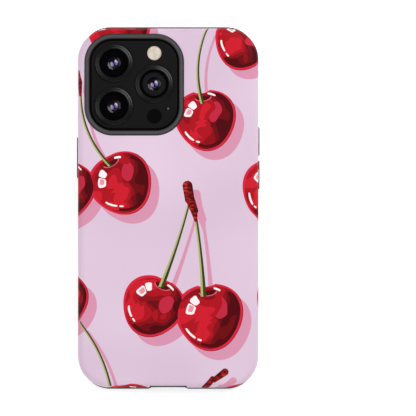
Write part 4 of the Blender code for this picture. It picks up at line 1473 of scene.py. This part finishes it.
def make_stage(scene):
    """The floor, the lamps, and a camera that looks straight down on the phone's back."""
    settings = scene.case_stage
    make_floor(settings)
    world = bpy.data.worlds.new("studio")
    world.use_nodes = True
    sky = world.node_tree.nodes["Background"]
    sky.inputs["Color"].default_value = (1, 1, 1, 1)
    sky.inputs["Strength"].default_value = SKY_GLOW
    scene.world = world
    scene.view_settings.view_transform = "Standard"
    add_softbox("key", (0.55, 0.62, 1.05), (0.8, 0.8), settings.key)
    add_softbox("left_fill", (-1.0, -0.1, 0.9), (0.9, 1.4), settings.fill)
    add_softbox("low_fill", (0.2, -1.1, 0.9), (1.4, 0.7), settings.fill * LOW_FILL_SHARE)
    clear_selection()
    distance = settings.view_width * settings.lens / SENSOR_WIDTH
    bpy.ops.object.camera_add(
        location=(settings.view_right, 0.0, SHELL_HIGH.z + distance), rotation=(0, 0, 0)
    )
    camera = bpy.context.active_object
    camera.data.lens = settings.lens
    camera.data.sensor_width = SENSOR_WIDTH
    camera.data.clip_end = FURTHEST_SEEN
    scene.camera = camera


# ---------------------------------------------------------------- operators


class StageOperator(bpy.types.Operator):
    """Add the floor, the studio lights and the camera over the phone's back"""

    bl_idname = "phone_case.stage"
    bl_label = "Stage"

    def execute(self, context):
        make_stage(context.scene)
        return {"FINISHED"}


class ShellOperator(bpy.types.Operator):
    """Model the hard outer shell and print its pattern of cherries"""

    bl_idname = "phone_case.shell"
    bl_label = "Printed Shell"

    def execute(self, context):
        make_shell(context.scene)
        return {"FINISHED"}


class LinerOperator(bpy.types.Operator):
    """Model the soft liner with its lip, bumpers, port boss and camera rim"""

    bl_idname = "phone_case.liner"
    bl_label = "Soft Liner"

    def execute(self, context):
        make_liner(context.scene)
        return {"FINISHED"}


class CoversOperator(bpy.types.Operator):
    """Model the three button covers in the case's sides"""

    bl_idname = "phone_case.covers"
    bl_label = "Button Covers"

    def execute(self, context):
        make_covers(context.scene)
        return {"FINISHED"}


class KeysOperator(bpy.types.Operator):
    """Model the phone's own keys and its ring switch"""

    bl_idname = "phone_case.keys"
    bl_label = "Keys and Switch"

    def execute(self, context):
        make_keys(context.scene)
        return {"FINISHED"}


class IslandOperator(bpy.types.Operator):
    """Model the satin glass island that carries the cameras"""

    bl_idname = "phone_case.island"
    bl_label = "Camera Island"

    def execute(self, context):
        make_island(context.scene)
        return {"FINISHED"}


class LensesOperator(bpy.types.Operator):
    """Model the rings, glasses, barrels and front elements of the three cameras"""

    bl_idname = "phone_case.lenses"
    bl_label = "Lenses"

    def execute(self, context):
        make_lenses(context.scene)
        return {"FINISHED"}


class FlashOperator(bpy.types.Operator):
    """Model the flash, the depth sensor's window and the microphone beside the lenses"""

    bl_idname = "phone_case.flash"
    bl_label = "Flash and Sensor"

    def execute(self, context):
        make_flash_and_sensor(context.scene)
        return {"FINISHED"}


class ScreenOperator(bpy.types.Operator):
    """Model the front glass and the earpiece grille in it"""

    bl_idname = "phone_case.screen"
    bl_label = "Screen"

    def execute(self, context):
        make_screen(context.scene)
        return {"FINISHED"}


class PortOperator(bpy.types.Operator):
    """Model the charging port's mouth and tongue"""

    bl_idname = "phone_case.port"
    bl_label = "Charging Port"

    def execute(self, context):
        make_port(context.scene)
        return {"FINISHED"}


class InsideOperator(bpy.types.Operator):
    """Give the band and the pieces inside the phone their finishes"""

    bl_idname = "phone_case.inside"
    bl_label = "Band and Inside"

    def execute(self, context):
        finish_inside(context.scene)
        return {"FINISHED"}


OPERATORS = (
    StageOperator,
    ShellOperator,
    LinerOperator,
    CoversOperator,
    KeysOperator,
    IslandOperator,
    LensesOperator,
    FlashOperator,
    ScreenOperator,
    PortOperator,
    InsideOperator,
)


class PhoneCasePanel(bpy.types.Panel):
    """The steps that finish the phone and its case, in order, with their settings"""

    bl_idname = "VIEW3D_PT_phone_case"
    bl_label = "Phone Case"
    bl_space_type = "VIEW_3D"
    bl_region_type = "UI"
    bl_category = "Phone Case"

    def draw(self, context):
        column = self.layout.column()
        for operator in OPERATORS:
            column.operator(operator.bl_idname)
        for group, settings in SETTINGS.items():
            box = self.layout.box()
            for name in settings.__annotations__:
                box.prop(getattr(context.scene, group), name)


CLASSES = (*SETTINGS.values(), *OPERATORS, PhoneCasePanel)


def register():
    for item in CLASSES:
        bpy.utils.register_class(item)
    for group, settings in SETTINGS.items():
        setattr(bpy.types.Scene, group, PointerProperty(type=settings))


def unregister():
    for group in SETTINGS:
        delattr(bpy.types.Scene, group)
    for item in reversed(CLASSES):
        bpy.utils.unregister_class(item)


def main():
    register()
    for operator in OPERATORS:
        group, name = operator.bl_idname.split(".")
        getattr(getattr(bpy.ops, group), name)()


if __name__ == "__main__":
    main()
